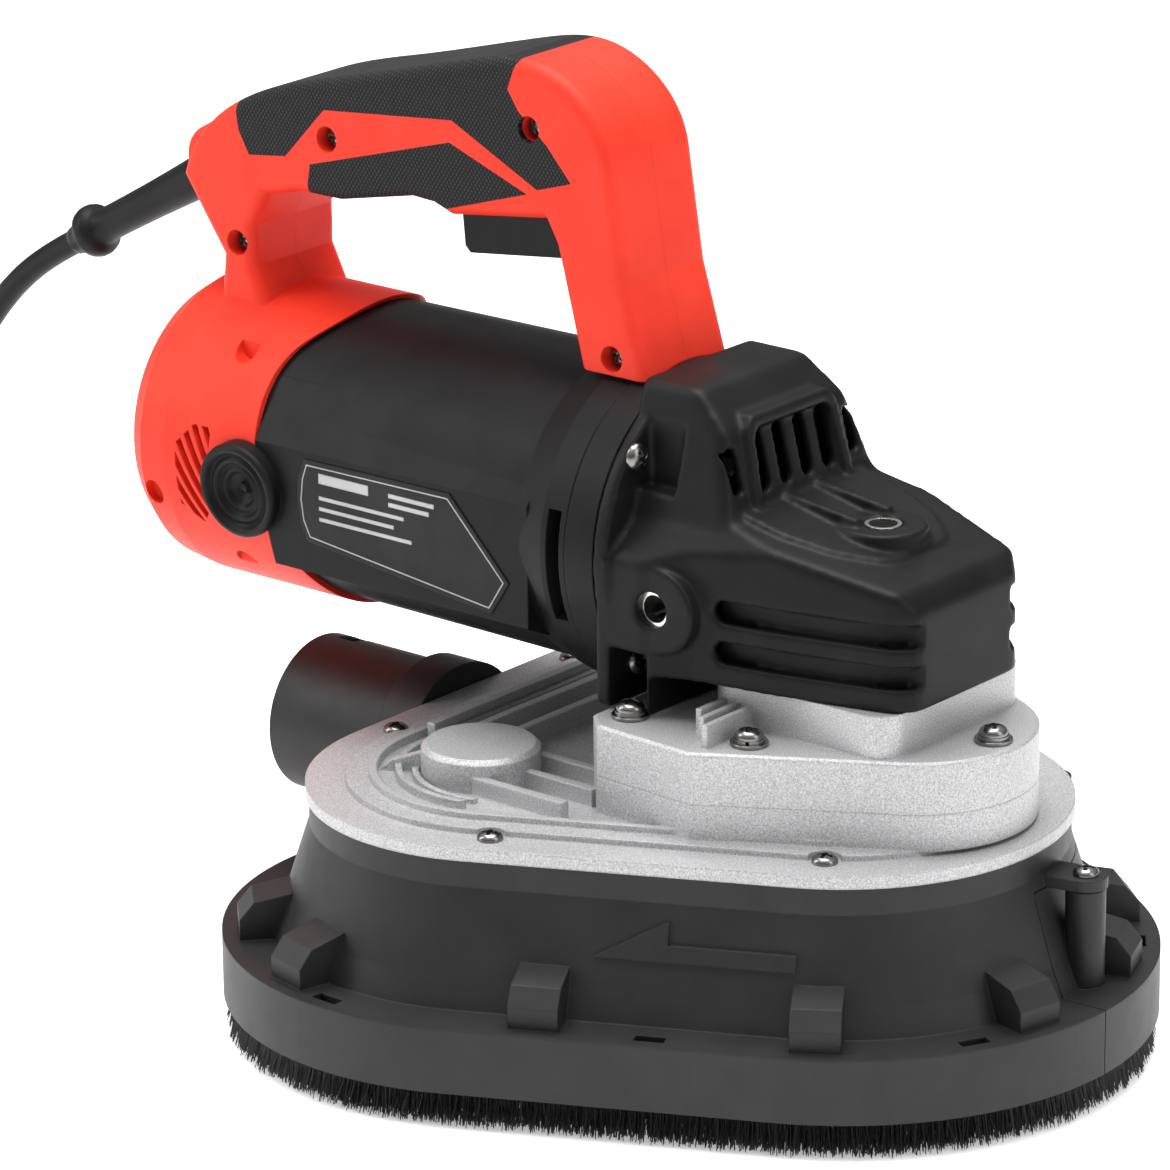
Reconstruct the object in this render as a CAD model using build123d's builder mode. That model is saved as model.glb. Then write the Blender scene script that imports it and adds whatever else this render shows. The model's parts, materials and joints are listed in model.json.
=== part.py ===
from build123d import *
import os
from math import acos, atan2, cos, degrees, hypot, pi, radians, sin, tan

os.makedirs("parts", exist_ok=True)

# ---------------------------------------------------------------- driving dimensions (mm)
# The origin is on the floor under the middle of the machine: +X is its front, +Y its left.

# Disc layout: an idler gear in the middle drives three discs set around it.
IDLER_X = 18
DISC_PITCH = 66
DISC_DIAMETER = 100
DISC_BOTTOM = 1
DISC_THICKNESS = 4
PAD_THICKNESS = 7
HUB_TOP = 30
FRONT_DISC = (IDLER_X + DISC_PITCH, 0)
REAR_LEFT_DISC = (IDLER_X + DISC_PITCH * cos(radians(120)), DISC_PITCH * sin(radians(120)))
REAR_RIGHT_DISC = (REAR_LEFT_DISC[0], -REAR_LEFT_DISC[1])
DISC_CENTRES = (FRONT_DISC, REAR_LEFT_DISC, REAR_RIGHT_DISC)

# Base outline: a rounded triangle, the hull of three corner circles.
FRONT_CORNER_X = 76
FRONT_CORNER_R = 70
REAR_CORNER_X = -9
REAR_CORNER_Y = 50
REAR_CORNER_R = 62

# Levels of the base, from the floor up.
SKIRT_BOTTOM = 11
LEDGE_TOP = 31
BAND_BOTTOM = 65
SHROUD_TOP = 73.4
RIM_TOP = 77.4
COVER_SEAM = 90
COVER_TOP = 106
NECK_TOP = 119

# Shroud walls, as growth outwards from the base outline.
WALL = 3
SKIRT_GROW = 26
BAND_GROW = -1
WALL_STEPS = ((LEDGE_TOP, 11), (40, 7), (BAND_BOTTOM, BAND_GROW))
OPENING_GROW = -14
CHANNEL_GROW = (12.5, 15)
BRISTLE_GROW = (17, 22)
SEGMENT_ANGLES = (1, 85)
SEGMENT_TOP = 61.5
SEGMENT_SCREW_ANGLES = (11.5, 74)
SEGMENT_SCREW_R = 80
SEAM_GAP = 0.4

# Dust port, a tube that runs rearwards.
PORT_AXIS_Z = 57
PORT_R = 25
PORT_WALL = 2.5
PORT_STEP = 0.5
PORT_END_X = -130
COLLAR_X = (-85, -71.4)

# Gears.
SPUR_MODULE = 2
DISC_TEETH = 21
IDLER_TEETH = 45
SPUR_Z = (67, 75)
PRESSURE_ANGLE = 20
BEVEL_MODULE = 1.6
PINION_TEETH = 11
WHEEL_TEETH = 35
BEVEL_FACE = 9
SHAFT_R = 6
BEARING_R = 14
BEARING_H = 8
RUNNING_GAP = 0.15

# Motor.
MOTOR_Z = 150
BARREL_R = (46.5, 47.5)
COLLAR_R = 50.5
FACET_Y = 47.7
ROTOR_SHAFT_R = 5
BRUSH_X = -117
BRUSH_TILT = -5

# Handle.
HANDLE_HALF = 20
GRIP_THICKNESS = 2
HANDLE_WALL = 4.5
CORD_R = 4

# ---------------------------------------------------------------- shared helpers


def write(piece, name):
    """Labels a finished piece and writes its STEP file."""
    piece.part.label = name
    export_step(piece.part, f"parts/{name}.step")


def base_outline(grow, z):
    """The rounded triangle of the base at one height, grown outwards by `grow`."""
    with BuildSketch(Plane.XY.offset(z), mode=Mode.PRIVATE) as outline:
        with Locations((FRONT_CORNER_X, 0)):
            Circle(FRONT_CORNER_R + grow)
        with Locations((REAR_CORNER_X, REAR_CORNER_Y), (REAR_CORNER_X, -REAR_CORNER_Y)):
            Circle(REAR_CORNER_R + grow)
        make_hull()
    return outline.sketch


def base_block(grow, bottom, top, mode=Mode.ADD):
    """An upright block with the base outline."""
    extrude(base_outline(grow, bottom), amount=top - bottom, mode=mode)


def cylinder_z(x, y, radius, bottom, top, mode=Mode.ADD):
    """An upright cylinder between two heights."""
    with Locations((x, y, bottom)):
        Cylinder(radius, top - bottom, align=(Align.CENTER, Align.CENTER, Align.MIN), mode=mode)


def across(x, z=MOTOR_Z):
    """The plane square to the motor axis at x: its own x is +Y and its own y is +Z."""
    return Plane(origin=(x, 0, z), x_dir=(0, 1, 0), z_dir=(1, 0, 0))


def cylinder_x(radius, x_from, x_to, z=MOTOR_Z, mode=Mode.ADD):
    """A cylinder on an axis along X."""
    with BuildSketch(across(x_from, z), mode=Mode.PRIVATE) as disc:
        Circle(radius)
    extrude(disc.sketch, amount=x_to - x_from, mode=mode)


def block(x, y, z, mode=Mode.ADD):
    """A box given by its low and high limits on each axis."""
    with Locations(((x[0] + x[1]) / 2, (y[0] + y[1]) / 2, (z[0] + z[1]) / 2)):
        Box(x[1] - x[0], y[1] - y[0], z[1] - z[0], mode=mode)


def corner_place(corner_x, corner_y, corner_r, angle, grow):
    """A place on the grown base outline round one corner, turned to face outwards."""
    radius = corner_r + grow
    x = corner_x + radius * cos(radians(angle))
    y = corner_y + radius * sin(radians(angle))
    return x, y, angle


def edge_place(fraction, side, grow):
    """A place on a long edge of the grown outline; side is +1 for the left, -1 for the right."""
    run = hypot(FRONT_CORNER_X - REAR_CORNER_X, REAR_CORNER_Y)
    lean = degrees(atan2(REAR_CORNER_Y, FRONT_CORNER_X - REAR_CORNER_X))
    normal = lean - degrees(acos((REAR_CORNER_R - FRONT_CORNER_R) / run))
    x = REAR_CORNER_X + fraction * (FRONT_CORNER_X - REAR_CORNER_X)
    y = -REAR_CORNER_Y * (1 - fraction)
    radius = REAR_CORNER_R + fraction * (FRONT_CORNER_R - REAR_CORNER_R) + grow
    x += radius * cos(radians(normal))
    y += radius * sin(radians(normal))
    return x, -side * y, -side * normal


def radial_plane(place):
    """The upright plane through a place on the outline: its own x points outwards, y up."""
    x, y, angle = place
    out = (cos(radians(angle)), sin(radians(angle)), 0)
    return Plane(origin=(x, y, 0), x_dir=out, z_dir=(out[1], -out[0], 0))


# ---------------------------------------------------------------- dust shroud

RAMP_HALF_WIDTH = 7.5
RAMP_PROFILE = ((9.5, 30), (21, 30), (21, 37.5), (16.5, 43), (5, 45.5))
SLOT_SIZE = (4, 9)

front_ramps = [corner_place(FRONT_CORNER_X, 0, FRONT_CORNER_R, a, 0) for a in (-57, -13)]
segment_ramps = [corner_place(FRONT_CORNER_X, 0, FRONT_CORNER_R, a, 0) for a in (22, 50)]
rear_ramps = [
    corner_place(REAR_CORNER_X, side * REAR_CORNER_Y, REAR_CORNER_R, side * a, 0)
    for side in (-1, 1)
    for a in (135, 104)
]
edge_ramps = [edge_place(0.27, side, 0) for side in (-1, 1)]

slot_places = [edge_place(0.62, side, 19.5) for side in (-1, 1)]
slot_places += [corner_place(FRONT_CORNER_X, 0, FRONT_CORNER_R, -27, 19.5)]
slot_places += [
    corner_place(REAR_CORNER_X, side * REAR_CORNER_Y, REAR_CORNER_R, side * 92, 19.5)
    for side in (-1, 1)
]
segment_slots = [corner_place(FRONT_CORNER_X, 0, FRONT_CORNER_R, 36, 19.5)]


def add_ramp(place):
    """A wedge-shaped boss that stiffens the ledge against the sloping wall."""
    with BuildSketch(radial_plane(place), mode=Mode.PRIVATE) as profile:
        with BuildLine():
            Polyline(*RAMP_PROFILE, close=True)
        make_face()
    extrude(profile.sketch, amount=RAMP_HALF_WIDTH, both=True)


def cut_slot(place):
    """A small rectangular hole through the ledge."""
    x, y, angle = place
    with BuildSketch(Plane.XY.offset(LEDGE_TOP), mode=Mode.PRIVATE) as slot:
        with Locations(Location((x, y), angle)):
            Rectangle(*SLOT_SIZE)
    extrude(slot.sketch, amount=-WALL, mode=Mode.SUBTRACT)


def shroud_shell():
    """Skirt, ledge, brush channel and walls, open at the top and the bottom."""
    base_block(SKIRT_GROW, SKIRT_BOTTOM, LEDGE_TOP)
    for (low, low_grow), (high, high_grow) in zip(WALL_STEPS, WALL_STEPS[1:]):
        loft([base_outline(low_grow, low), base_outline(high_grow, high)], ruled=True)
    base_block(BAND_GROW, BAND_BOTTOM, SHROUD_TOP)
    base_block(SKIRT_GROW - WALL, SKIRT_BOTTOM, LEDGE_TOP - WALL, mode=Mode.SUBTRACT)
    base_block(WALL_STEPS[0][1] - WALL, LEDGE_TOP - WALL, LEDGE_TOP, mode=Mode.SUBTRACT)
    for (low, low_grow), (high, high_grow) in zip(WALL_STEPS, WALL_STEPS[1:]):
        loft(
            [base_outline(low_grow - WALL, low), base_outline(high_grow - WALL, high)],
            ruled=True,
            mode=Mode.SUBTRACT,
        )
    base_block(BAND_GROW - WALL, BAND_BOTTOM, SHROUD_TOP - WALL, mode=Mode.SUBTRACT)
    base_block(OPENING_GROW, SHROUD_TOP - WALL, SHROUD_TOP, mode=Mode.SUBTRACT)
    with BuildSketch(Plane.XY.offset(SKIRT_BOTTOM + 4), mode=Mode.PRIVATE) as channel:
        add(base_outline(CHANNEL_GROW[1], 0))
        add(base_outline(CHANNEL_GROW[0], 0), mode=Mode.SUBTRACT)
    extrude(channel.sketch, amount=LEDGE_TOP - WALL - SKIRT_BOTTOM - 4)


def segment_sector(trim, top):
    """The wedge of space that the removable front segment fills, trimmed at each end."""
    reach = 2 * (FRONT_CORNER_R + SKIRT_GROW)
    with BuildSketch(Plane.XY, mode=Mode.PRIVATE) as sector:
        with BuildLine():
            start = radians(SEGMENT_ANGLES[0] + trim)
            end = radians(SEGMENT_ANGLES[1] - trim)
            middle = (start + end) / 2
            corners = [(FRONT_CORNER_X, 0)]
            for turn in (start, middle, end):
                corners.append((FRONT_CORNER_X + reach * cos(turn), reach * sin(turn)))
            Polyline(*corners, close=True)
        make_face()
    return extrude(sector.sketch, amount=top, mode=Mode.PRIVATE)


with BuildPart() as dust_shroud:
    shroud_shell()
    for place in front_ramps + rear_ramps + edge_ramps:
        add_ramp(place)
    for place in slot_places:
        cut_slot(place)
    # a round-topped collar at the rear takes the dust port
    with BuildSketch(across(COLLAR_X[0], PORT_AXIS_Z)) as collar:
        Circle(PORT_R + WALL)
        with Locations((0, (LEDGE_TOP - PORT_AXIS_Z) / 2)):
            Rectangle(2 * (PORT_R + WALL), PORT_AXIS_Z - LEDGE_TOP + 1)
    extrude(amount=COLLAR_X[1] - COLLAR_X[0])
    block((COLLAR_X[1] - 1, -68.5), (-PORT_R - WALL, PORT_R + WALL), (LEDGE_TOP, SHROUD_TOP - 1))
    cylinder_x(PORT_R - PORT_STEP, COLLAR_X[0], COLLAR_X[0] + 10, PORT_AXIS_Z, mode=Mode.SUBTRACT)
    cylinder_x(PORT_R - PORT_WALL, COLLAR_X[0], COLLAR_X[0] + 11.5, PORT_AXIS_Z, mode=Mode.SUBTRACT)
    with BuildSketch(across(COLLAR_X[0] + 10, PORT_AXIS_Z)) as window:
        Circle(PORT_R - PORT_WALL)
        with Locations((0, PORT_R + SHROUD_TOP - WALL - PORT_AXIS_Z)):
            Rectangle(3 * PORT_R, 2 * PORT_R, mode=Mode.SUBTRACT)
    extrude(amount=25, mode=Mode.SUBTRACT)
    # the front segment's place, with the tabs that its screws go through
    add(segment_sector(0, SEGMENT_TOP), mode=Mode.SUBTRACT)
    for angle in SEGMENT_SCREW_ANGLES:
        x, y, turn = corner_place(FRONT_CORNER_X, 0, 0, angle, SEGMENT_SCREW_R)
        with BuildSketch(Plane.XY.offset(SEGMENT_TOP)) as tab:
            with Locations(Location((x, y), turn)):
                Circle(6.5)
                with Locations((-7, 0)):
                    Rectangle(12, 13)
        extrude(amount=3.5)
        cylinder_z(x, y, 2, SEGMENT_TOP, SEGMENT_TOP + 3.5, mode=Mode.SUBTRACT)
    # a raised arrow on the right wall shows which way the machine runs
    arrow_x, arrow_y, arrow_angle = edge_place(0.72, -1, 5.4)
    wall_lean = degrees(atan2(WALL_STEPS[1][1] - BAND_GROW, BAND_BOTTOM - WALL_STEPS[1][0]))
    arrow_out = (
        cos(radians(arrow_angle)) * cos(radians(wall_lean)),
        sin(radians(arrow_angle)) * cos(radians(wall_lean)),
        sin(radians(wall_lean)),
    )
    arrow_along = (-sin(radians(arrow_angle)), cos(radians(arrow_angle)), 0)
    with BuildSketch(Plane((arrow_x, arrow_y, 46), x_dir=arrow_along, z_dir=arrow_out)) as arrow:
        with BuildLine():
            Polyline((30, 3), (30, 8), (-8, 8), (-8, 15), (-30, 3), close=True)
        make_face()
    extrude(amount=1, both=True)
write(dust_shroud, "dust_shroud")

with BuildPart() as shroud_segment:
    shroud_shell()
    for place in segment_ramps:
        add_ramp(place)
    for place in segment_slots:
        cut_slot(place)
    for angle in SEGMENT_SCREW_ANGLES:
        x, y, turn = corner_place(FRONT_CORNER_X, 0, 0, angle, SEGMENT_SCREW_R)
        cylinder_z(x, y, 6, LEDGE_TOP - 1, SEGMENT_TOP)
        cylinder_z(x, y, 2, LEDGE_TOP + 10, SEGMENT_TOP, mode=Mode.SUBTRACT)
    add(segment_sector(0.25, SEGMENT_TOP - SEAM_GAP), mode=Mode.INTERSECT)
write(shroud_segment, "shroud_segment")


def brush_ring():
    """Backing strip in the channel, with the bristles below it down to the floor."""
    top = LEDGE_TOP - WALL
    for (inner, outer), low, high in (
        ((CHANNEL_GROW[1], SKIRT_GROW - WALL), SKIRT_BOTTOM + 6, top),
        (BRISTLE_GROW, 0, SKIRT_BOTTOM + 6),
    ):
        with BuildSketch(Plane.XY.offset(low), mode=Mode.PRIVATE) as ring:
            add(base_outline(outer, 0))
            add(base_outline(inner, 0), mode=Mode.SUBTRACT)
        extrude(ring.sketch, amount=high - low)


with BuildPart() as brush_strip:
    brush_ring()
    add(segment_sector(-0.2, LEDGE_TOP), mode=Mode.SUBTRACT)
write(brush_strip, "brush_strip")

with BuildPart() as segment_brush:
    brush_ring()
    add(segment_sector(0.9, LEDGE_TOP), mode=Mode.INTERSECT)
write(segment_brush, "segment_brush")

with BuildPart() as dust_port:
    cylinder_x(PORT_R, PORT_END_X, COLLAR_X[0], PORT_AXIS_Z)
    cylinder_x(PORT_R - PORT_STEP, COLLAR_X[0], COLLAR_X[0] + 10, PORT_AXIS_Z)
    cylinder_x(PORT_R - PORT_WALL, PORT_END_X, COLLAR_X[0] + 10, PORT_AXIS_Z, mode=Mode.SUBTRACT)
    # a square window near the open end lets a hose clip snap in
    block((PORT_END_X + 5, PORT_END_X + 12), (2, 13), (PORT_AXIS_Z, PORT_AXIS_Z + 30), Mode.SUBTRACT)
write(dust_port, "dust_port")


def pan_head(x, y, seat, shank_bottom, head_r=4, shank_r=2, head_h=2.6):
    """A pan-head screw standing on `seat`, with a crossed recess."""
    cylinder_z(x, y, shank_r, shank_bottom, seat)
    cylinder_z(x, y, head_r, seat, seat + head_h)
    for turn in (0, 90):
        with Locations(Location((x, y, seat + head_h), (0, 0, turn + 20))):
            Box(head_r * 1.2, head_r * 0.28, head_h, mode=Mode.SUBTRACT)


with BuildPart() as segment_screws:
    for angle in SEGMENT_SCREW_ANGLES:
        x, y, turn = corner_place(FRONT_CORNER_X, 0, 0, angle, SEGMENT_SCREW_R)
        pan_head(x, y, SEGMENT_TOP + 3.5, LEDGE_TOP + 12)
write(segment_screws, "segment_screws")

# ---------------------------------------------------------------- cast base

BOSS_R = 18
BOSS_TOP = 89
STEP_TOPS = ((-12, 79.2), (-19, 81))
POCKET_GROW = -21.5
POCKET_FLOOR = 78.6
CASE_WALL_R = 30
CASE_BORE_R = 26
TRAY_Z = (58.5, 62)
CAVITY_TOP = 76.4
TRAY_BOSS_Z = 47
PLATE_SCREWS = [(20, -94.5), (108, -49), (-62, -42)]
PLATE_SCREWS += [(x, -y) for x, y in PLATE_SCREWS]
COVER_SCREWS = [(36, -49), (78, -46), (36, 49), (78, 46), (132, 0)]
COVER_REAR_X = 26
COVER_WALL = 4.5
NECK_X = (53, 119)
NECK_HALF = 35
TRAY_SCREWS = [
    (x + 28 * cos(radians(turn + spread)), y + 28 * sin(radians(turn + spread)))
    for (x, y), turn in zip(DISC_CENTRES, (0, 120, -120))
    for spread in (-52, 52)
]


def disc_hull(radius, z):
    """The hull of three circles on the disc axes."""
    with BuildSketch(Plane.XY.offset(z), mode=Mode.PRIVATE) as hull:
        with Locations(*DISC_CENTRES):
            Circle(radius)
        make_hull()
    return hull.sketch


def cover_outline(inset, z):
    """The gear cover's outline: square at the rear, waisted, with a round nose."""
    side = ((COVER_REAR_X, 54), (33, 61), (69, 63), (84, 54), (118, 34))
    with BuildSketch(Plane.XY.offset(z), mode=Mode.PRIVATE) as outline:
        with BuildLine():
            Polyline(*[(x, -y) for x, y in side])
            ThreePointArc((118, -34), (140, 0), (118, 34))
            Polyline(*side[::-1])
            Line((COVER_REAR_X, 54), (COVER_REAR_X, -54))
        make_face()
        if inset:
            offset(amount=-inset, kind=Kind.INTERSECTION)
    return outline.sketch


with BuildPart() as base_plate:
    base_block(0, SHROUD_TOP, RIM_TOP)
    for (grow, top), floor in zip(STEP_TOPS, (RIM_TOP, STEP_TOPS[0][1])):
        base_block(grow, floor, top)
    base_block(POCKET_GROW, POCKET_FLOOR, STEP_TOPS[1][1], mode=Mode.SUBTRACT)
    extrude(disc_hull(CASE_WALL_R, TRAY_Z[1]), amount=SHROUD_TOP - TRAY_Z[1])
    # ribs: fore and aft between each rear boss and the gear cover, and across the rear
    for side in (-1, 1):
        for rib_y in (43, 57, 71):
            y = side * rib_y
            block((-15, COVER_REAR_X + 3), (y - 1.5, y + 1.5), (POCKET_FLOOR, 84))
        for turn in (150, 205, 265):
            place = (REAR_LEFT_DISC[0], side * REAR_LEFT_DISC[1], side * turn)
            with BuildSketch(radial_plane(place)):
                with BuildLine():
                    Polyline((12, POCKET_FLOOR), (31, POCKET_FLOOR), (27, 82), (12, 87), close=True)
                make_face()
            extrude(amount=1.5, both=True)
    for rib_x in (-46, -34, -22):
        block((rib_x - 1.5, rib_x + 1.5), (-44, 44), (POCKET_FLOOR, 84))
    for nested in (-27, -32):
        with BuildSketch(Plane.XY.offset(POCKET_FLOOR)) as ridge:
            add(base_outline(nested, 0))
            add(base_outline(nested - 2, 0), mode=Mode.SUBTRACT)
            with Locations((100, 0)):
                Rectangle(200, 300, mode=Mode.SUBTRACT)
        extrude(amount=2.6 + 0.2 * (nested + 27))
    # upright wall that the gear cover is screwed to
    extrude(cover_outline(0, POCKET_FLOOR), amount=COVER_SEAM - POCKET_FLOOR)
    extrude(cover_outline(COVER_WALL, STEP_TOPS[1][1]), amount=20, mode=Mode.SUBTRACT)
    for x, y in COVER_SCREWS[:4]:
        cylinder_z(x, y, 7, POCKET_FLOOR, COVER_SEAM)
    cylinder_z(128, 0, 8, POCKET_FLOOR, COVER_SEAM)
    # bosses over the bearings and the idler axle
    for x, y in (REAR_LEFT_DISC, REAR_RIGHT_DISC):
        cylinder_z(x, y, BOSS_R, POCKET_FLOOR, BOSS_TOP)
    boss_rims = base_plate.edges().filter_by_position(Axis.Z, BOSS_TOP - 0.1, BOSS_TOP + 0.1)
    chamfer(boss_rims, 1.5)
    cylinder_z(*FRONT_DISC, BOSS_R, POCKET_FLOOR, 86.5)
    cylinder_z(IDLER_X, 0, 13, POCKET_FLOOR, BOSS_TOP)
    # underside: gear cavity, bearing pockets, shaft and screw holes
    extrude(disc_hull(CASE_BORE_R, TRAY_Z[1]), amount=CAVITY_TOP - TRAY_Z[1], mode=Mode.SUBTRACT)
    for x, y in DISC_CENTRES:
        cylinder_z(x, y, BEARING_R, CAVITY_TOP - 1, 85.5, mode=Mode.SUBTRACT)
    cylinder_z(*REAR_LEFT_DISC, 8, 84, 87, mode=Mode.SUBTRACT)
    cylinder_z(*REAR_RIGHT_DISC, 8, 84, 87, mode=Mode.SUBTRACT)
    cylinder_z(*FRONT_DISC, 9, 84, 90, mode=Mode.SUBTRACT)
    cylinder_z(IDLER_X, 0, SHAFT_R, CAVITY_TOP - 1, 86, mode=Mode.SUBTRACT)
    for x, y in PLATE_SCREWS:
        cylinder_z(x, y, 2, SHROUD_TOP, 90, mode=Mode.SUBTRACT)
        cylinder_z(x, y, 5, RIM_TOP, 90, mode=Mode.SUBTRACT)
    for x, y in COVER_SCREWS:
        cylinder_z(x, y, 2, 84, COVER_SEAM, mode=Mode.SUBTRACT)
    for x, y in TRAY_SCREWS:
        cylinder_z(x, y, 1.5, TRAY_Z[1], TRAY_Z[1] + 9, mode=Mode.SUBTRACT)
write(base_plate, "base_plate")

with BuildPart() as gear_cover:
    extrude(cover_outline(0, COVER_SEAM), amount=COVER_TOP - COVER_SEAM)
    top_edges = gear_cover.edges().group_by(Axis.Z)[-1]
    chamfer(top_edges, 0.8)
    with BuildSketch(Plane.XY.offset(COVER_TOP - 3)) as neck:
        with Locations((sum(NECK_X) / 2, 0)):
            RectangleRounded(NECK_X[1] - NECK_X[0], 2 * NECK_HALF, 9)
    extrude(amount=NECK_TOP - COVER_TOP + 3)
    # slanting ribs brace the neck on each side
    for side in (-1, 1):
        for rib_x in (60, 65, 70):
            block((rib_x - 1, rib_x + 1), sorted((side * 30, side * (57 - (70 - rib_x)))), (100, 113))
    with BuildSketch(Plane.YZ.offset(50)) as rib_slope:
        with BuildLine():
            Polyline((35.2, 113.5), (58, 104.5), (70, 104.5), (70, 125), (35.2, 125), close=True)
        make_face()
        mirror(about=Plane.XZ)
    extrude(amount=40, mode=Mode.SUBTRACT)
    extrude(cover_outline(COVER_WALL, COVER_SEAM), amount=COVER_TOP - COVER_SEAM - 4, mode=Mode.SUBTRACT)
    for x, y in COVER_SCREWS[:4]:
        cylinder_z(x, y, 7, COVER_SEAM, COVER_TOP - 2)
    cylinder_z(128, 0, 8, COVER_SEAM, COVER_TOP - 2)
    with BuildSketch(Plane.XY.offset(COVER_TOP - 5)) as neck_hollow:
        with Locations((sum(NECK_X) / 2, 0)):
            RectangleRounded(NECK_X[1] - NECK_X[0] - 9, 2 * NECK_HALF - 9, 5)
    extrude(amount=NECK_TOP - 4 - COVER_TOP + 5, mode=Mode.SUBTRACT)
    cylinder_z(*FRONT_DISC, BOSS_R, 104, 118)
    cylinder_z(*FRONT_DISC, 9, 100, 112, mode=Mode.SUBTRACT)
    cylinder_z(*FRONT_DISC, BEARING_R, 109, 120, mode=Mode.SUBTRACT)
    for x, y in COVER_SCREWS:
        cylinder_z(x, y, 2, COVER_SEAM, COVER_TOP, mode=Mode.SUBTRACT)
write(gear_cover, "gear_cover")

with BuildPart() as plate_screws:
    for x, y in PLATE_SCREWS:
        pan_head(x, y, RIM_TOP, SHROUD_TOP, head_r=3.6)
write(plate_screws, "plate_screws")

with BuildPart() as cover_screws:
    for x, y in COVER_SCREWS:
        cylinder_z(x, y, 5.5, COVER_TOP, COVER_TOP + 1.2)
        cylinder_z(x, y, 4.8, COVER_TOP + 1.2, COVER_TOP + 2.2)
        pan_head(x, y, COVER_TOP + 2.2, 84, head_r=4.2, head_h=2.8)
write(cover_screws, "cover_screws")

with BuildPart() as gear_tray:
    extrude(disc_hull(CASE_WALL_R, TRAY_Z[0]), amount=TRAY_Z[1] - TRAY_Z[0])
    for x, y in DISC_CENTRES:
        cylinder_z(x, y, BEARING_R + 3.5, TRAY_BOSS_Z, TRAY_Z[1])
    for x, y in DISC_CENTRES:
        cylinder_z(x, y, 9, TRAY_BOSS_Z, TRAY_Z[1], mode=Mode.SUBTRACT)
        cylinder_z(x, y, BEARING_R, TRAY_Z[1] - 10, TRAY_Z[1], mode=Mode.SUBTRACT)
    cylinder_z(IDLER_X, 0, SHAFT_R, TRAY_Z[0], TRAY_Z[1], mode=Mode.SUBTRACT)
    for x, y in TRAY_SCREWS:
        cylinder_z(x, y, 1.5, TRAY_Z[0], TRAY_Z[1], mode=Mode.SUBTRACT)
write(gear_tray, "gear_tray")

with BuildPart() as tray_screws:
    for x, y in TRAY_SCREWS:
        cylinder_z(x, y, 1.5, TRAY_Z[0], TRAY_Z[1] + 8)
        cylinder_z(x, y, 3, TRAY_Z[0] - 2, TRAY_Z[0])
write(tray_screws, "tray_screws")

# ---------------------------------------------------------------- spur gears, spindles and discs


def gear_face(teeth, phase, bore):
    """An involute spur gear's face at the origin, with a tooth pointing at `phase` degrees."""
    pitch_r = SPUR_MODULE * teeth / 2
    base_r = pitch_r * cos(radians(PRESSURE_ANGLE))
    root_r = pitch_r - 1.25 * SPUR_MODULE
    tip_r = pitch_r + 0.9 * SPUR_MODULE
    start_r = max(base_r, root_r)
    at_pitch = tan(radians(PRESSURE_ANGLE)) - radians(PRESSURE_ANGLE)
    half_pitch_angle = pi / (2 * teeth) - RUNNING_GAP / pitch_r
    flank = []
    for step in range(5):
        radius = start_r + (tip_r - start_r) * step / 4
        roll = acos(min(1, base_r / radius))
        flank.append((radius, half_pitch_angle + at_pitch - (tan(roll) - roll)))
    flank.insert(0, (root_r, flank[0][1]))
    points = []
    for tooth in range(teeth):
        middle = radians(phase) + 2 * pi * tooth / teeth
        for radius, half in flank:
            points.append((radius * cos(middle - half), radius * sin(middle - half)))
        for radius, half in reversed(flank):
            points.append((radius * cos(middle + half), radius * sin(middle + half)))
    if start_r == root_r:
        points = [p for i, p in enumerate(points) if i % 12 not in (0, 11)]
    with BuildSketch(Plane.XY, mode=Mode.PRIVATE) as face:
        with BuildLine():
            Polyline(*points, close=True)
        make_face()
        Circle(bore, mode=Mode.SUBTRACT)
    return face.sketch


with BuildPart(Plane((IDLER_X, 0, SPUR_Z[0]))) as idler_gear:
    add(gear_face(IDLER_TEETH, 0, BEARING_R + 0.08))
    extrude(amount=SPUR_Z[1] - SPUR_Z[0])
    with PolarLocations(28, 6, start_angle=30):
        Cylinder(7, 3 * SPUR_Z[1], mode=Mode.SUBTRACT)
write(idler_gear, "idler_gear")

with BuildPart() as idler_axle:
    cylinder_z(IDLER_X, 0, SHAFT_R, TRAY_Z[0], 86)
write(idler_axle, "idler_axle")

with BuildPart() as idler_bearing:
    cylinder_z(IDLER_X, 0, BEARING_R, SPUR_Z[0], SPUR_Z[1])
    cylinder_z(IDLER_X, 0, SHAFT_R, SPUR_Z[0], SPUR_Z[1], mode=Mode.SUBTRACT)
write(idler_bearing, "idler_bearing")

LOWER_BEARING_Z = TRAY_Z[1] - 10
UPPER_BEARING_Z = 77.5
OUTPUT_BEARING_Z = 109

with BuildPart() as spindle_bearings:
    for x, y in DISC_CENTRES:
        for low in (LOWER_BEARING_Z, UPPER_BEARING_Z):
            cylinder_z(x, y, BEARING_R, low, low + BEARING_H)
    cylinder_z(*FRONT_DISC, BEARING_R, OUTPUT_BEARING_Z, OUTPUT_BEARING_Z + BEARING_H)
    for x, y in DISC_CENTRES:
        cylinder_z(x, y, SHAFT_R + 0.06, 40, 130, mode=Mode.SUBTRACT)
write(spindle_bearings, "spindle_bearings")

SPINDLE_TOPS = (137, 86.5, 86.5)
MACHINE_CORNERS = ("front", "rear_left", "rear_right")

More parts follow.
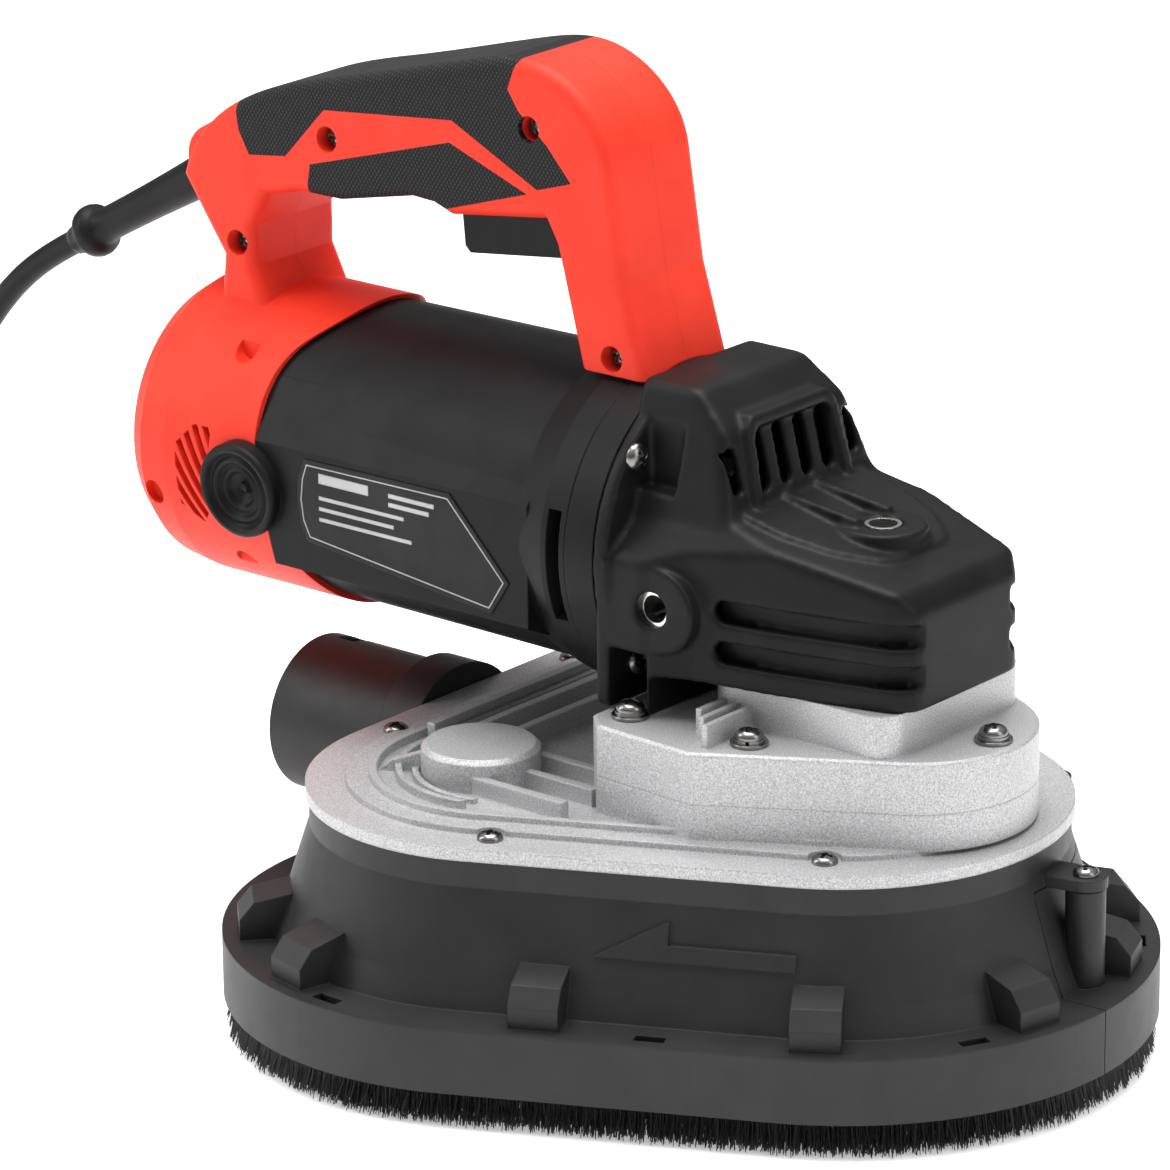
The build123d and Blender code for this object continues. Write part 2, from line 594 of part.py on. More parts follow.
for corner, (x, y), top in zip(MACHINE_CORNERS, DISC_CENTRES, SPINDLE_TOPS):
    with BuildPart() as spindle:
        cylinder_z(x, y, 7, DISC_BOTTOM + DISC_THICKNESS + PAD_THICKNESS, HUB_TOP)
        cylinder_z(x, y, 10.5, HUB_TOP, 44)
        cylinder_z(x, y, SHAFT_R, 44, top)
        for side in (-1, 1):
            with Locations((x + side * 10, y, 37)):
                Box(4, 22, 8, mode=Mode.SUBTRACT)
    write(spindle, f"{corner}_spindle")

    toward_idler = degrees(atan2(-y, IDLER_X - x))
    with BuildPart(Plane((x, y, SPUR_Z[0]))) as drive_gear:
        add(gear_face(DISC_TEETH, toward_idler + 180 / DISC_TEETH, SHAFT_R))
        extrude(amount=SPUR_Z[1] - SPUR_Z[0])
    write(drive_gear, f"{corner}_gear")

    with BuildPart() as backing_pad:
        pad_bottom = DISC_BOTTOM + DISC_THICKNESS
        with BuildSketch(Plane((x, y, 0), x_dir=(1, 0, 0), z_dir=(0, -1, 0))):
            with BuildLine():
                Polyline(
                    (0, pad_bottom),
                    (DISC_DIAMETER / 2 - 1, pad_bottom),
                    (DISC_DIAMETER / 2 - 2, pad_bottom + 4),
                    (DISC_DIAMETER / 2 - 10, pad_bottom + PAD_THICKNESS),
                    (18, pad_bottom + PAD_THICKNESS + 2),
                    (15, pad_bottom + PAD_THICKNESS + 5),
                    (15, HUB_TOP),
                    (7, HUB_TOP),
                    (7, pad_bottom + PAD_THICKNESS),
                    (0, pad_bottom + PAD_THICKNESS),
                    close=True,
                )
            make_face()
        revolve(axis=Axis((x, y, 0), (0, 0, 1)))
    write(backing_pad, f"{corner}_pad")

    with BuildPart() as disc:
        cylinder_z(x, y, DISC_DIAMETER / 2, DISC_BOTTOM, DISC_BOTTOM + DISC_THICKNESS)
        rim = disc.edges().group_by(Axis.Z)[0]
        chamfer(rim, 1)
    write(disc, f"{corner}_disc")

# ---------------------------------------------------------------- bevel gears

BEVEL_APEX = (FRONT_DISC[0], 0, MOTOR_Z)
PINION_R = BEVEL_MODULE * PINION_TEETH / 2
WHEEL_R = BEVEL_MODULE * WHEEL_TEETH / 2
CONE_LENGTH = hypot(PINION_R, WHEEL_R)
INNER_SCALE = (CONE_LENGTH - BEVEL_FACE) / CONE_LENGTH
ADDENDUM = 0.8 * BEVEL_MODULE
DEDENDUM = 1.25 * BEVEL_MODULE
TOOTH_HALF = pi * BEVEL_MODULE / 4 - 0.3
TOOTH_SLOPE = tan(radians(PRESSURE_ANGLE + 4))


def bevel_gear(along, radius, teeth, hub_r, hub_length, bore):
    """A straight bevel gear, apex at the origin, on a cone that opens along +X.

    The large end's pitch circle lies `along` the axis with this `radius`; one tooth points up."""
    lean = atan2(radius, along)
    outer = (along + DEDENDUM * sin(lean), radius - DEDENDUM * cos(lean))
    inner = (outer[0] * INNER_SCALE, outer[1] * INNER_SCALE)
    back = outer[0] + 3
    sections = []
    for scale in (1, INNER_SCALE):
        distance = CONE_LENGTH * scale
        origin = (distance * cos(lean), 0, distance * sin(lean))
        plane = Plane(origin, x_dir=(0, 1, 0), z_dir=(cos(lean), 0, sin(lean)))
        top = ADDENDUM * scale
        root = -(DEDENDUM + 0.25) * scale
        half_top = TOOTH_HALF * scale - top * TOOTH_SLOPE
        half_root = TOOTH_HALF * scale - root * TOOTH_SLOPE
        with BuildSketch(plane, mode=Mode.PRIVATE) as section:
            with BuildLine():
                Polyline(
                    (half_root, root), (half_top, top), (-half_top, top), (-half_root, root), close=True
                )
            make_face()
        sections.append(section.sketch)
    tooth = loft(sections, ruled=True, mode=Mode.PRIVATE)
    with BuildPart(mode=Mode.PRIVATE) as gear:
        with BuildSketch(Plane.XZ):
            with BuildLine():
                Polyline(
                    (back + hub_length, bore),
                    (back + hub_length, hub_r),
                    (back, hub_r),
                    (back, max(outer[1] - 2, hub_r)),
                    outer,
                    inner,
                    (inner[0], bore),
                    close=True,
                )
            make_face()
        revolve(axis=Axis.X)
        for index in range(teeth):
            add(tooth, rotation=(360 * index / teeth, 0, 0))
    return gear.part


with BuildPart(Plane(BEVEL_APEX, x_dir=(-1, 0, 0), z_dir=(0, 0, 1))) as bevel_pinion:
    add(bevel_gear(WHEEL_R, PINION_R, PINION_TEETH, 4.6, 2, 3.5))
write(bevel_pinion, "bevel_pinion")

with BuildPart(Plane(BEVEL_APEX, x_dir=(0, 0, -1), z_dir=(-1, 0, 0))) as bevel_wheel:
    add(bevel_gear(PINION_R, WHEEL_R, WHEEL_TEETH, 11, 12, SHAFT_R))
write(bevel_wheel, "bevel_wheel")

# ---------------------------------------------------------------- head cover and motor front

HEAD_REAR_X = 23
HEAD_FRONT_X = 121
HEAD_WALL = 3
DECK_Z = (154, 166)
HUMP_X = (41, 54, 62)
INSERT_R = 4.25
SIDE_INSERT = (43, 46, 140)
TOP_INSERT = (91.5, 164.4)
FLANGE_SCREWS = [(y, z) for y in (-35.5, 35.5) for z in (MOTOR_Z - 32, MOTOR_Z + 31)]
FLANGE_FRONT_X = 27
POCKET_R = 7
SIDE_SLOTS = ((129.5, 62, 112), (142, 62, 112))
SLOT_H = 7


def head_body(inset):
    """The head cover's outer form, or, with an inset, the hollow inside it."""
    side_view = (
        (HEAD_REAR_X, NECK_TOP),
        (HEAD_FRONT_X, NECK_TOP),
        (HEAD_FRONT_X, 149),
        (118, DECK_Z[0]),
        (90, 160),
        (HUMP_X[2], DECK_Z[1]),
        (HUMP_X[1], 191),
        (HUMP_X[0], 200.5),
        (HEAD_REAR_X, 200.5),
    )
    half_plan = ((HEAD_REAR_X, 50.5), (38, 50), (53, 42.5), (80, 38), (117, 28.5), (HEAD_FRONT_X, 24))
    with BuildPart(mode=Mode.PRIVATE) as form:
        with BuildSketch(Plane.XZ):
            with BuildLine():
                Polyline(*side_view, close=True)
            make_face()
            if inset:
                offset(amount=-inset, kind=Kind.INTERSECTION)
        extrude(amount=60, both=True)
        with BuildSketch(Plane.XY.offset(90)):
            with BuildLine():
                Polyline(*half_plan, *[(x, -y) for x, y in reversed(half_plan)], close=True)
            make_face()
            if inset:
                offset(amount=-inset, kind=Kind.INTERSECTION)
        extrude(amount=120, mode=Mode.INTERSECT)
        with BuildSketch(across(HEAD_REAR_X)):
            Circle(COLLAR_R - inset)
        with BuildSketch(across(HEAD_REAR_X)):
            with BuildLine():
                Polyline(
                    (-49 + inset, -60),
                    (-49 + inset, 4 - inset),
                    (-36 + inset, 13 - inset),
                    (-25 + inset, 51 - inset),
                    (25 - inset, 51 - inset),
                    (36 - inset, 13 - inset),
                    (49 - inset, 4 - inset),
                    (49 - inset, -60),
                    close=True,
                )
            make_face()
        extrude(amount=120, mode=Mode.INTERSECT)
    return form.part


def screw_pockets(growth):
    """Space in front of the four flange screws, open to the outside."""
    with BuildPart(mode=Mode.PRIVATE) as pockets:
        for y, z in FLANGE_SCREWS:
            outwards = 1 if y > 0 else -1
            with BuildSketch(across(FLANGE_FRONT_X - growth)):
                with Locations((y, z - MOTOR_Z)):
                    Circle(POCKET_R + growth)
                    with Locations((outwards * 10, 0)):
                        Rectangle(20, 2 * (POCKET_R + growth))
            extrude(amount=60 if z > MOTOR_Z else 14 + growth)
    return pockets.part


with BuildPart(mode=Mode.PRIVATE) as head_hollow:
    add(head_body(HEAD_WALL))
    cylinder_x(COLLAR_R - HEAD_WALL, HEAD_REAR_X - 1, 38)
    add(screw_pockets(HEAD_WALL), mode=Mode.SUBTRACT)

with BuildPart() as head_cover:
    add(head_body(0))
    cylinder_x(COLLAR_R, HEAD_REAR_X, 41)
    add(screw_pockets(0), mode=Mode.SUBTRACT)
    add(head_hollow.part, mode=Mode.SUBTRACT)
    # clearance over the gear cover, and the opening down into its neck
    block((25.7, 60), (-60, 60), (90, COVER_TOP + 0.3), mode=Mode.SUBTRACT)
    block((57, 115), (-26, 26), (NECK_TOP - 1, NECK_TOP + 5), mode=Mode.SUBTRACT)
    # bosses for the threaded handle inserts
    for side in (-1, 1):
        x, y, z = SIDE_INSERT
        with BuildSketch(Plane((x, side * y, z), x_dir=(1, 0, 0), z_dir=(0, -side, 0))):
            Circle(9)
        extrude(amount=12)
        with BuildSketch(Plane((x, side * y, z), x_dir=(1, 0, 0), z_dir=(0, -side, 0))):
            Circle(INSERT_R + 1.25)
        extrude(amount=60, both=True, mode=Mode.SUBTRACT)
    with BuildSketch(Plane.XY.offset(TOP_INSERT[1])):
        with Locations((TOP_INSERT[0], 0)):
            Circle(8)
            Circle(INSERT_R + 1.25, mode=Mode.SUBTRACT)
    extrude(amount=-14)
    cylinder_z(TOP_INSERT[0], 0, INSERT_R + 1.25, TOP_INSERT[1] - 14, 200, mode=Mode.SUBTRACT)
    for y, z in FLANGE_SCREWS:
        with BuildSketch(across(HEAD_REAR_X)):
            with Locations((y, z - MOTOR_Z)):
                Circle(2)
        extrude(amount=8, mode=Mode.SUBTRACT)
    # air slots along both sides and in the hump's front
    for z, x_from, x_to in SIDE_SLOTS:
        with BuildSketch(Plane.XZ):
            with Locations(((x_from + x_to) / 2, z)):
                SlotOverall(x_to - x_from, SLOT_H)
        extrude(amount=60, both=True, mode=Mode.SUBTRACT)
    with BuildSketch(Plane.YZ.offset(48)):
        with Locations(*[(y, 181) for y in (-15.2, -5.1, 5.1, 15.2)]):
            SlotOverall(20, 5, rotation=90)
    extrude(amount=40, mode=Mode.SUBTRACT)
write(head_cover, "head_cover")

with BuildPart() as handle_inserts:
    for side in (-1, 1):
        x, y, z = SIDE_INSERT
        with BuildSketch(Plane((x, side * y, z), x_dir=(1, 0, 0), z_dir=(0, -side, 0))):
            Circle(INSERT_R + 1.25)
            Circle(INSERT_R, mode=Mode.SUBTRACT)
        extrude(amount=12)
    with BuildSketch(Plane.XY.offset(TOP_INSERT[1])):
        with Locations((TOP_INSERT[0], 0)):
            Circle(INSERT_R + 1.25)
            Circle(INSERT_R, mode=Mode.SUBTRACT)
    extrude(amount=-12)
write(handle_inserts, "handle_inserts")

FLANGE_SPAN = (12.5, 23)
FRONT_BEARING = (13.5, 22.5, 13)
REAR_BEARING = (-158, -150, 11)

with BuildPart() as bearing_plate:
    cylinder_x(COLLAR_R, *FLANGE_SPAN)
    cylinder_x(COLLAR_R - 5, FLANGE_SPAN[0] + 4, FLANGE_SPAN[1], mode=Mode.SUBTRACT)
    cylinder_x(FRONT_BEARING[2] + 4, FLANGE_SPAN[0], FLANGE_SPAN[1])
    with BuildSketch(across(FLANGE_SPAN[0])):
        with PolarLocations(31, 6, start_angle=30):
            SlotOverall(22, 14, rotation=90)
    extrude(amount=4, mode=Mode.SUBTRACT)
    cylinder_x(ROTOR_SHAFT_R + 2, FLANGE_SPAN[0], FLANGE_SPAN[1], mode=Mode.SUBTRACT)
    cylinder_x(FRONT_BEARING[2], FRONT_BEARING[0], FLANGE_SPAN[1], mode=Mode.SUBTRACT)
write(bearing_plate, "bearing_plate")

with BuildPart() as head_screws:
    for y, z in FLANGE_SCREWS:
        for start, amount, radius in ((HEAD_REAR_X, 4, 2), (FLANGE_FRONT_X, 3, 4.2)):
            with BuildSketch(across(start)):
                with Locations((y, z - MOTOR_Z)):
                    Circle(radius)
            extrude(amount=amount)
        with BuildSketch(across(FLANGE_FRONT_X + 3)):
            with Locations((y, z - MOTOR_Z)):
                Rectangle(5, 1.2)
                Rectangle(1.2, 5)
        extrude(amount=-1.8, mode=Mode.SUBTRACT)
write(head_screws, "head_screws")

# ---------------------------------------------------------------- motor

BARREL_SPAN = (-128, 12.5)
FLARE_X = (-8, 3)
BARREL_BORE_R = 44
BRUSH_BOSS_R = 15
CAP_SPLIT = (
    (-98, 202),
    (-102, 195),
    (-110, 187),
    (-113, 177),
    (-113, 165),
    (-110, 146),
    (-106, 128),
    (-101, 114),
    (-97, 96),
)


def cap_side(gap):
    """Everything to the rear of the wavy line where the red rear cap meets the black barrel."""
    with BuildSketch(Plane.XZ, mode=Mode.PRIVATE) as region:
        with BuildLine():
            wave = Spline(*[(x - gap, z) for x, z in CAP_SPLIT])
            Polyline(wave @ 1, (-190, 96), (-190, 202), wave @ 0)
        make_face()
    return extrude(region.sketch, amount=70, both=True, mode=Mode.PRIVATE)


def brush_plane(side, distance):
    """The plane square to a carbon brush's axis, `distance` out from the motor axis."""
    turn = radians(BRUSH_TILT)
    out = (0, side * cos(turn), sin(turn))
    origin = (BRUSH_X, distance * out[1], MOTOR_Z + distance * out[2])
    return Plane(origin, x_dir=(1, 0, 0), z_dir=out)


with BuildPart() as motor_housing:
    with BuildSketch(Plane.XZ):
        with BuildLine():
            Polyline(
                (BARREL_SPAN[0], MOTOR_Z + BARREL_BORE_R),
                (BARREL_SPAN[0], MOTOR_Z + BARREL_R[0]),
                (FLARE_X[0], MOTOR_Z + BARREL_R[1]),
                (FLARE_X[1], MOTOR_Z + COLLAR_R - 0.3),
                (BARREL_SPAN[1] - 0.6, MOTOR_Z + COLLAR_R - 0.3),
                (BARREL_SPAN[1], MOTOR_Z + COLLAR_R - 0.9),
                (BARREL_SPAN[1], MOTOR_Z + BARREL_BORE_R),
                close=True,
            )
        make_face()
    revolve(axis=Axis((0, 0, MOTOR_Z), (1, 0, 0)))
    # flat facets on both sides, the right one for the label plate
    with BuildSketch(across(-112)):
        with BuildLine():
            Polyline(
                (30, -34), (FACET_Y, -26), (FACET_Y, 12), (36, 30), (-36, 30),
                (-FACET_Y, 12), (-FACET_Y, -26), (-30, -34), close=True,
            )
        make_face()
    extrude(amount=108)
    cylinder_x(BARREL_BORE_R, *BARREL_SPAN, mode=Mode.SUBTRACT)
    add(cap_side(0), mode=Mode.SUBTRACT)
    # brush bosses stand on the split line, half over the rear cap
    for side in (-1, 1):
        with BuildSketch(brush_plane(side, BARREL_BORE_R + 0.5)):
            Circle(BRUSH_BOSS_R)
        extrude(amount=5.5)
        with BuildSketch(brush_plane(side, BARREL_BORE_R - 1)):
            Circle(11)
        extrude(amount=8, mode=Mode.SUBTRACT)
    # cooling slots round the collar
    with BuildSketch(across(5)):
        Circle(60)
        Circle(30, mode=Mode.SUBTRACT)
        with BuildLine():
            Polyline((0, 0), (90, 26), (90, 90), (-90, 90), (-90, 26), close=True)
        make_face(mode=Mode.SUBTRACT)
        with BuildLine():
            Polyline((0, 0), (90, -42), (90, -90), (-90, -90), (-90, -42), close=True)
        make_face(mode=Mode.SUBTRACT)
    extrude(amount=5, mode=Mode.SUBTRACT)
write(motor_housing, "motor_housing")

# ---------------------------------------------------------------- handle and rear cap

CAP_R = 48.5
CAP_END_X = -172
CAP_STEP_X = -148
CAP_BORE_R = 39
CAP_PROFILE = ((-70, CAP_R), (-150, CAP_R), (-161, 47), (-168, 42.5), (CAP_END_X, 36), (CAP_END_X, 0))
TOP_CURVE = ((-166, 231), (-158, 246), (-134, 262), (-96, 273), (-50, 285), (-25, 288), (-3, 277), (6, 258))
FRONT_POST = ((6, 258), (11, 226), (21, 193), (22.4, 184), (-3, 184), (-16, 234), (-20, 241))
GRIP_UNDERSIDE = ((-20, 241), (-57, 236), (-64, 238.5), (-73, 239), (-102, 233), (-118, 233))
REAR_POST = ((-118, 233), (-131, 230), (-137, 219), (-137, 206), (-131, 194), (-120, 186), (-153, 180))
REAR_EDGE = ((-153, 180), (-150, 208), (-155, 215), (-166, 231))
CORD_EXIT = (-166, 0, 230)
CORD_SLOPE = 29
BOSS_RADIUS = 13.5


def cord_plane(distance):
    """The plane square to the cord's exit direction, `distance` outwards from the exit point."""
    slope = radians(CORD_SLOPE)
    out = (-cos(slope), 0, -sin(slope))
    origin = tuple(c + distance * o for c, o in zip(CORD_EXIT, out))
    return Plane(origin, x_dir=(0, 1, 0), z_dir=out)


def handle_frame(inset, half_width):
    """The D-shaped frame seen from the side, shrunk by `inset`, at a given half width."""
    with BuildPart(mode=Mode.PRIVATE) as frame:
        with BuildSketch(Plane.XZ):
            with BuildLine():
                if inset:
                    Polyline(*TOP_CURVE)
                else:
                    Spline(*TOP_CURVE)
                Polyline(*FRONT_POST)
                Polyline(*GRIP_UNDERSIDE)
                Polyline(*REAR_POST)
                Polyline(*REAR_EDGE)
            make_face()
            if inset:
                offset(amount=-inset, kind=Kind.INTERSECTION)
        extrude(amount=half_width, both=True)
    return frame.part


with BuildPart(mode=Mode.PRIVATE) as frame_form:
    add(handle_frame(0, HANDLE_HALF))
    side_faces = frame_form.faces().filter_by(Axis.Y).sort_by(Axis.Y)
    fillet(side_faces[0].edges() + side_faces[-1].edges(), 4)

with BuildPart(mode=Mode.PRIVATE) as handle_form:
    with BuildSketch(Plane.XZ):
        with BuildLine():
            Polyline(*[(x, MOTOR_Z + r) for x, r in CAP_PROFILE], (CAP_PROFILE[0][0], MOTOR_Z), close=True)
        make_face()
    revolve(axis=Axis((0, 0, MOTOR_Z), (1, 0, 0)))
    add(cap_side(0), mode=Mode.INTERSECT)
    add(frame_form.part)
    with BuildSketch(cord_plane(-14)):
        Circle(BOSS_RADIUS)
    extrude(amount=15)
    cylinder_x(COLLAR_R, -30, 40, mode=Mode.SUBTRACT)
    cylinder_x(BARREL_BORE_R, CAP_STEP_X, 40, mode=Mode.SUBTRACT)
    cylinder_x(CAP_BORE_R, CAP_END_X + 5, CAP_STEP_X, mode=Mode.SUBTRACT)
    for side in (-1, 1):
        with BuildSketch(brush_plane(side, 25)):
            Circle(BRUSH_BOSS_R)
        extrude(amount=40, mode=Mode.SUBTRACT)

UPPER_GRIP = (
    (-141, 249), (-137, 242), (-122, 244), (-106, 261), (-55, 266), (-22, 250),
    (-9, 254), (-18, 264), (-29, 273), (-33, 279), (-25, 300), (-150, 300),
)
LOWER_GRIP = ((-112, 243), (-56, 259), (-26, 248), (-60, 237.5), (-71, 225), (-115, 225))
HANDLE_SCREWS = ((-105, 252), (-25, 268), (-143, 213), (6, 203))
CAP_RECESSES = ((-127, 31.5, 185), (-157, 41.5, 136), (-127, 35, 117))
VENT_REGION = ((-145, 135), (-145, 155), (-138, 162), (-131, 162), (-131, 137), (-137, 130))
VENT_PITCH = 4.6
VENT_WIDTH = 2.4
VENT_LEAN = 30
TRIGGER_X = (-62, -22)
TRIGGER_PIN = (-25, 243.5)
SWITCH_X = (-74, -38)
DIAL_PLACE = (22, 168)
DIAL_R = 9


def dial_plane(depth):
    """The plane across the speed dial, `depth` forward of the cap's rear face."""
    return Plane((CAP_END_X + depth, *DIAL_PLACE), x_dir=(0, 1, 0), z_dir=(1, 0, 0))


def grip_piece(region, half_width):
    """The outer skin of the handle frame inside one region of the side view."""
    with BuildPart(mode=Mode.PRIVATE) as grip:
        add(frame_form.part)
        with BuildSketch(Plane.XZ):
            with BuildLine():
                Polyline(*region, close=True)
            make_face()
        extrude(amount=half_width, both=True, mode=Mode.INTERSECT)
        add(handle_frame(GRIP_THICKNESS, HANDLE_HALF - GRIP_THICKNESS), mode=Mode.SUBTRACT)
    return grip.part


upper_grip_form = grip_piece(UPPER_GRIP, 30)
lower_grip_form = grip_piece(LOWER_GRIP, 30)

with BuildPart() as upper_grip:
    add(upper_grip_form)
    for x, z in HANDLE_SCREWS:
        with BuildSketch(Plane((x, -60, z), x_dir=(1, 0, 0), z_dir=(0, 1, 0))):
            Circle(4)
        extrude(amount=60, mode=Mode.SUBTRACT)
write(upper_grip, "upper_grip")

with BuildPart() as lower_grips:
    add(lower_grip_form)
    block((-120, -20), (-9.5, 9.5), (220, 262), mode=Mode.SUBTRACT)
write(lower_grips, "lower_grips")

with BuildPart(mode=Mode.PRIVATE) as handle_shell:
    add(handle_form.part)
    add(upper_grip_form, mode=Mode.SUBTRACT)
    add(lower_grips.part, mode=Mode.SUBTRACT)
    add(handle_frame(HANDLE_WALL, HANDLE_HALF - HANDLE_WALL), mode=Mode.SUBTRACT)
    block((-16, 30), (-30, 30), (180, 198), mode=Mode.SUBTRACT)
    # the trigger's slot and the cord's bore
    block((TRIGGER_X[0] - 1.5, TRIGGER_X[1] + 1), (-9, 9), (225, 247), mode=Mode.SUBTRACT)
    with BuildSketch(cord_plane(-24)):
        Circle(7)
    extrude(amount=30, mode=Mode.SUBTRACT)
    with BuildSketch(Plane.XZ):
        with Locations(TRIGGER_PIN):
            Circle(2)
    extrude(amount=HANDLE_HALF - HANDLE_WALL, both=True, mode=Mode.SUBTRACT)
    # posts for the screws that clamp the two halves together
    for x, z in HANDLE_SCREWS:
        with BuildSketch(Plane((x, 0, z), x_dir=(1, 0, 0), z_dir=(0, -1, 0))):
            Circle(6)
        extrude(amount=HANDLE_HALF - GRIP_THICKNESS - 0.5, both=True)
    cylinder_x(COLLAR_R, -30, 40, mode=Mode.SUBTRACT)
    add(upper_grip_form, mode=Mode.SUBTRACT)
    for x, z in HANDLE_SCREWS:
        with BuildSketch(Plane((x, -60, z), x_dir=(1, 0, 0), z_dir=(0, 1, 0))):
            Circle(4)
        extrude(amount=60 - 12, mode=Mode.SUBTRACT)
        with BuildSketch(Plane((x, -20, z), x_dir=(1, 0, 0), z_dir=(0, 1, 0))):
            Circle(1.8)
        extrude(amount=32, mode=Mode.SUBTRACT)
    for x, y, z in CAP_RECESSES:
        for side in (-1, 1):
            with BuildSketch(Plane((x, side * y, z), x_dir=(1, 0, 0), z_dir=(0, side, 0))):
                Circle(4)
            extrude(amount=20, mode=Mode.SUBTRACT)

with BuildPart(mode=Mode.PRIVATE) as vents:
    # slanting slots in both sides of the cap, cut out of one region
    with BuildSketch(Plane.XZ):
        for step in range(-3, 4):
            with Locations(Location((-138 + step * VENT_PITCH, 146), VENT_LEAN)):
                Rectangle(VENT_WIDTH, 60)
        with BuildLine():
            Polyline(*VENT_REGION, close=True)
        make_face(mode=Mode.INTERSECT)
    extrude(amount=60, both=True)
    block((-150, -125), (-36, 36), (120, 170), mode=Mode.SUBTRACT)

for name, side in (("handle_left", 1), ("handle_right", -1)):
    with BuildPart() as half:
        add(handle_shell.part)
        add(vents.part, mode=Mode.SUBTRACT)
        block((-250, 100), sorted((0, side * 80)), (60, 320), mode=Mode.INTERSECT)
        if side > 0:
            for radius, depth in ((DIAL_R + 0.3, 4.3), (3.1, 12)):
                with BuildSketch(dial_plane(-2)):
                    Circle(radius)
                extrude(amount=depth + 2, mode=Mode.SUBTRACT)
    write(half, name)

# ---------------------------------------------------------------- motor inside the housing

STATOR_X = (-78, -24)
STATOR_BORE_R = 27
ROTOR_R = 26
COMMUTATOR_X = (-127, -107)
COMMUTATOR_R = 13
FAN_X = (-8, 8)
FAN_R = 41

with BuildPart() as stator_core:
    with BuildSketch(across(STATOR_X[0])):
        Circle(BARREL_BORE_R)
        Circle(STATOR_BORE_R, mode=Mode.SUBTRACT)
        for side in (-1, 1):
            with Locations((side * 34, 0)):
                SlotOverall(38, 10, rotation=90, mode=Mode.SUBTRACT)
    extrude(amount=STATOR_X[1] - STATOR_X[0])
write(stator_core, "stator_core")

with BuildPart() as field_windings:
    for side in (-1, 1):
        with BuildSketch(across(STATOR_X[0] - 9)):
            with Locations((side * 34, 0)):
                SlotOverall(37, 9, rotation=90)
        extrude(amount=STATOR_X[1] - STATOR_X[0] + 18)
    for low, high in ((STATOR_X[0] - 9, STATOR_X[0]), (STATOR_X[1], STATOR_X[1] + 9)):
        with BuildSketch(across(low)):
            Circle(38)
            Circle(29.5, mode=Mode.SUBTRACT)
        extrude(amount=high - low)
write(field_windings, "field_windings")

with BuildPart() as rotor_shaft:
    cylinder_x(ROTOR_SHAFT_R, REAR_BEARING[0] - 1, 48)
    cylinder_x(3.5, 48, BEVEL_APEX[0] - WHEEL_R * INNER_SCALE - 1.2)
write(rotor_shaft, "rotor_shaft")

with BuildPart() as rotor_core:
    with BuildSketch(across(STATOR_X[0] + 1)):
        Circle(ROTOR_R)
        Circle(ROTOR_SHAFT_R, mode=Mode.SUBTRACT)
        with PolarLocations(ROTOR_R - 4, 16):
            Rectangle(9, 2.4, mode=Mode.SUBTRACT)
    extrude(amount=STATOR_X[1] - STATOR_X[0] - 2)
write(rotor_core, "rotor_core")

with BuildPart() as commutator:
    with BuildSketch(across(COMMUTATOR_X[0])):
        Circle(COMMUTATOR_R)
        Circle(ROTOR_SHAFT_R, mode=Mode.SUBTRACT)
        with PolarLocations(COMMUTATOR_R, 24):
            Rectangle(3, 0.7, mode=Mode.SUBTRACT)
    extrude(amount=COMMUTATOR_X[1] - COMMUTATOR_X[0])
write(commutator, "commutator")

with BuildPart() as cooling_fan:
    cylinder_x(12, FAN_X[0], FAN_X[1])
    cylinder_x(FAN_R, FAN_X[0], FAN_X[0] + 2)
    with BuildSketch(across(FAN_X[0] + 2)):
        with PolarLocations(25, 9):
            Rectangle(31, 2, rotation=25)
    extrude(amount=FAN_X[1] - FAN_X[0] - 2)
    cylinder_x(ROTOR_SHAFT_R, FAN_X[0], FAN_X[1], mode=Mode.SUBTRACT)
write(cooling_fan, "cooling_fan")

with BuildPart() as motor_bearings:
    for low, high, radius in (FRONT_BEARING, REAR_BEARING):
        cylinder_x(radius, low, high)
    cylinder_x(ROTOR_SHAFT_R + 0.06, REAR_BEARING[0], FRONT_BEARING[1], mode=Mode.SUBTRACT)
write(motor_bearings, "motor_bearings")

with BuildPart() as rear_bracket:
    cylinder_x(CAP_BORE_R, REAR_BEARING[0], REAR_BEARING[1] + 2)
    with BuildSketch(across(REAR_BEARING[0])):
        with PolarLocations(28, 4, start_angle=45):
            SlotOverall(34, 18, rotation=90)
    extrude(amount=REAR_BEARING[1] + 2 - REAR_BEARING[0], mode=Mode.SUBTRACT)
    cylinder_x(REAR_BEARING[2], REAR_BEARING[0], REAR_BEARING[1], mode=Mode.SUBTRACT)
    cylinder_x(ROTOR_SHAFT_R + 1, REAR_BEARING[0], REAR_BEARING[1] + 2, mode=Mode.SUBTRACT)
write(rear_bracket, "rear_bracket")

BRUSH_SECTION = (10, 6)

with BuildPart() as carbon_brushes:
    for side in (-1, 1):
        with BuildSketch(brush_plane(side, COMMUTATOR_R + 0.3)):
            Rectangle(*BRUSH_SECTION)
        extrude(amount=16)
write(carbon_brushes, "carbon_brushes")

with BuildPart() as brush_holders:
    for side in (-1, 1):
        with BuildSketch(brush_plane(side, COMMUTATOR_R + 4)):
            Rectangle(BRUSH_SECTION[0] + 4, BRUSH_SECTION[1] + 4)
            Rectangle(*BRUSH_SECTION, mode=Mode.SUBTRACT)
        extrude(amount=BARREL_BORE_R - COMMUTATOR_R - 4.6)
write(brush_holders, "brush_holders")

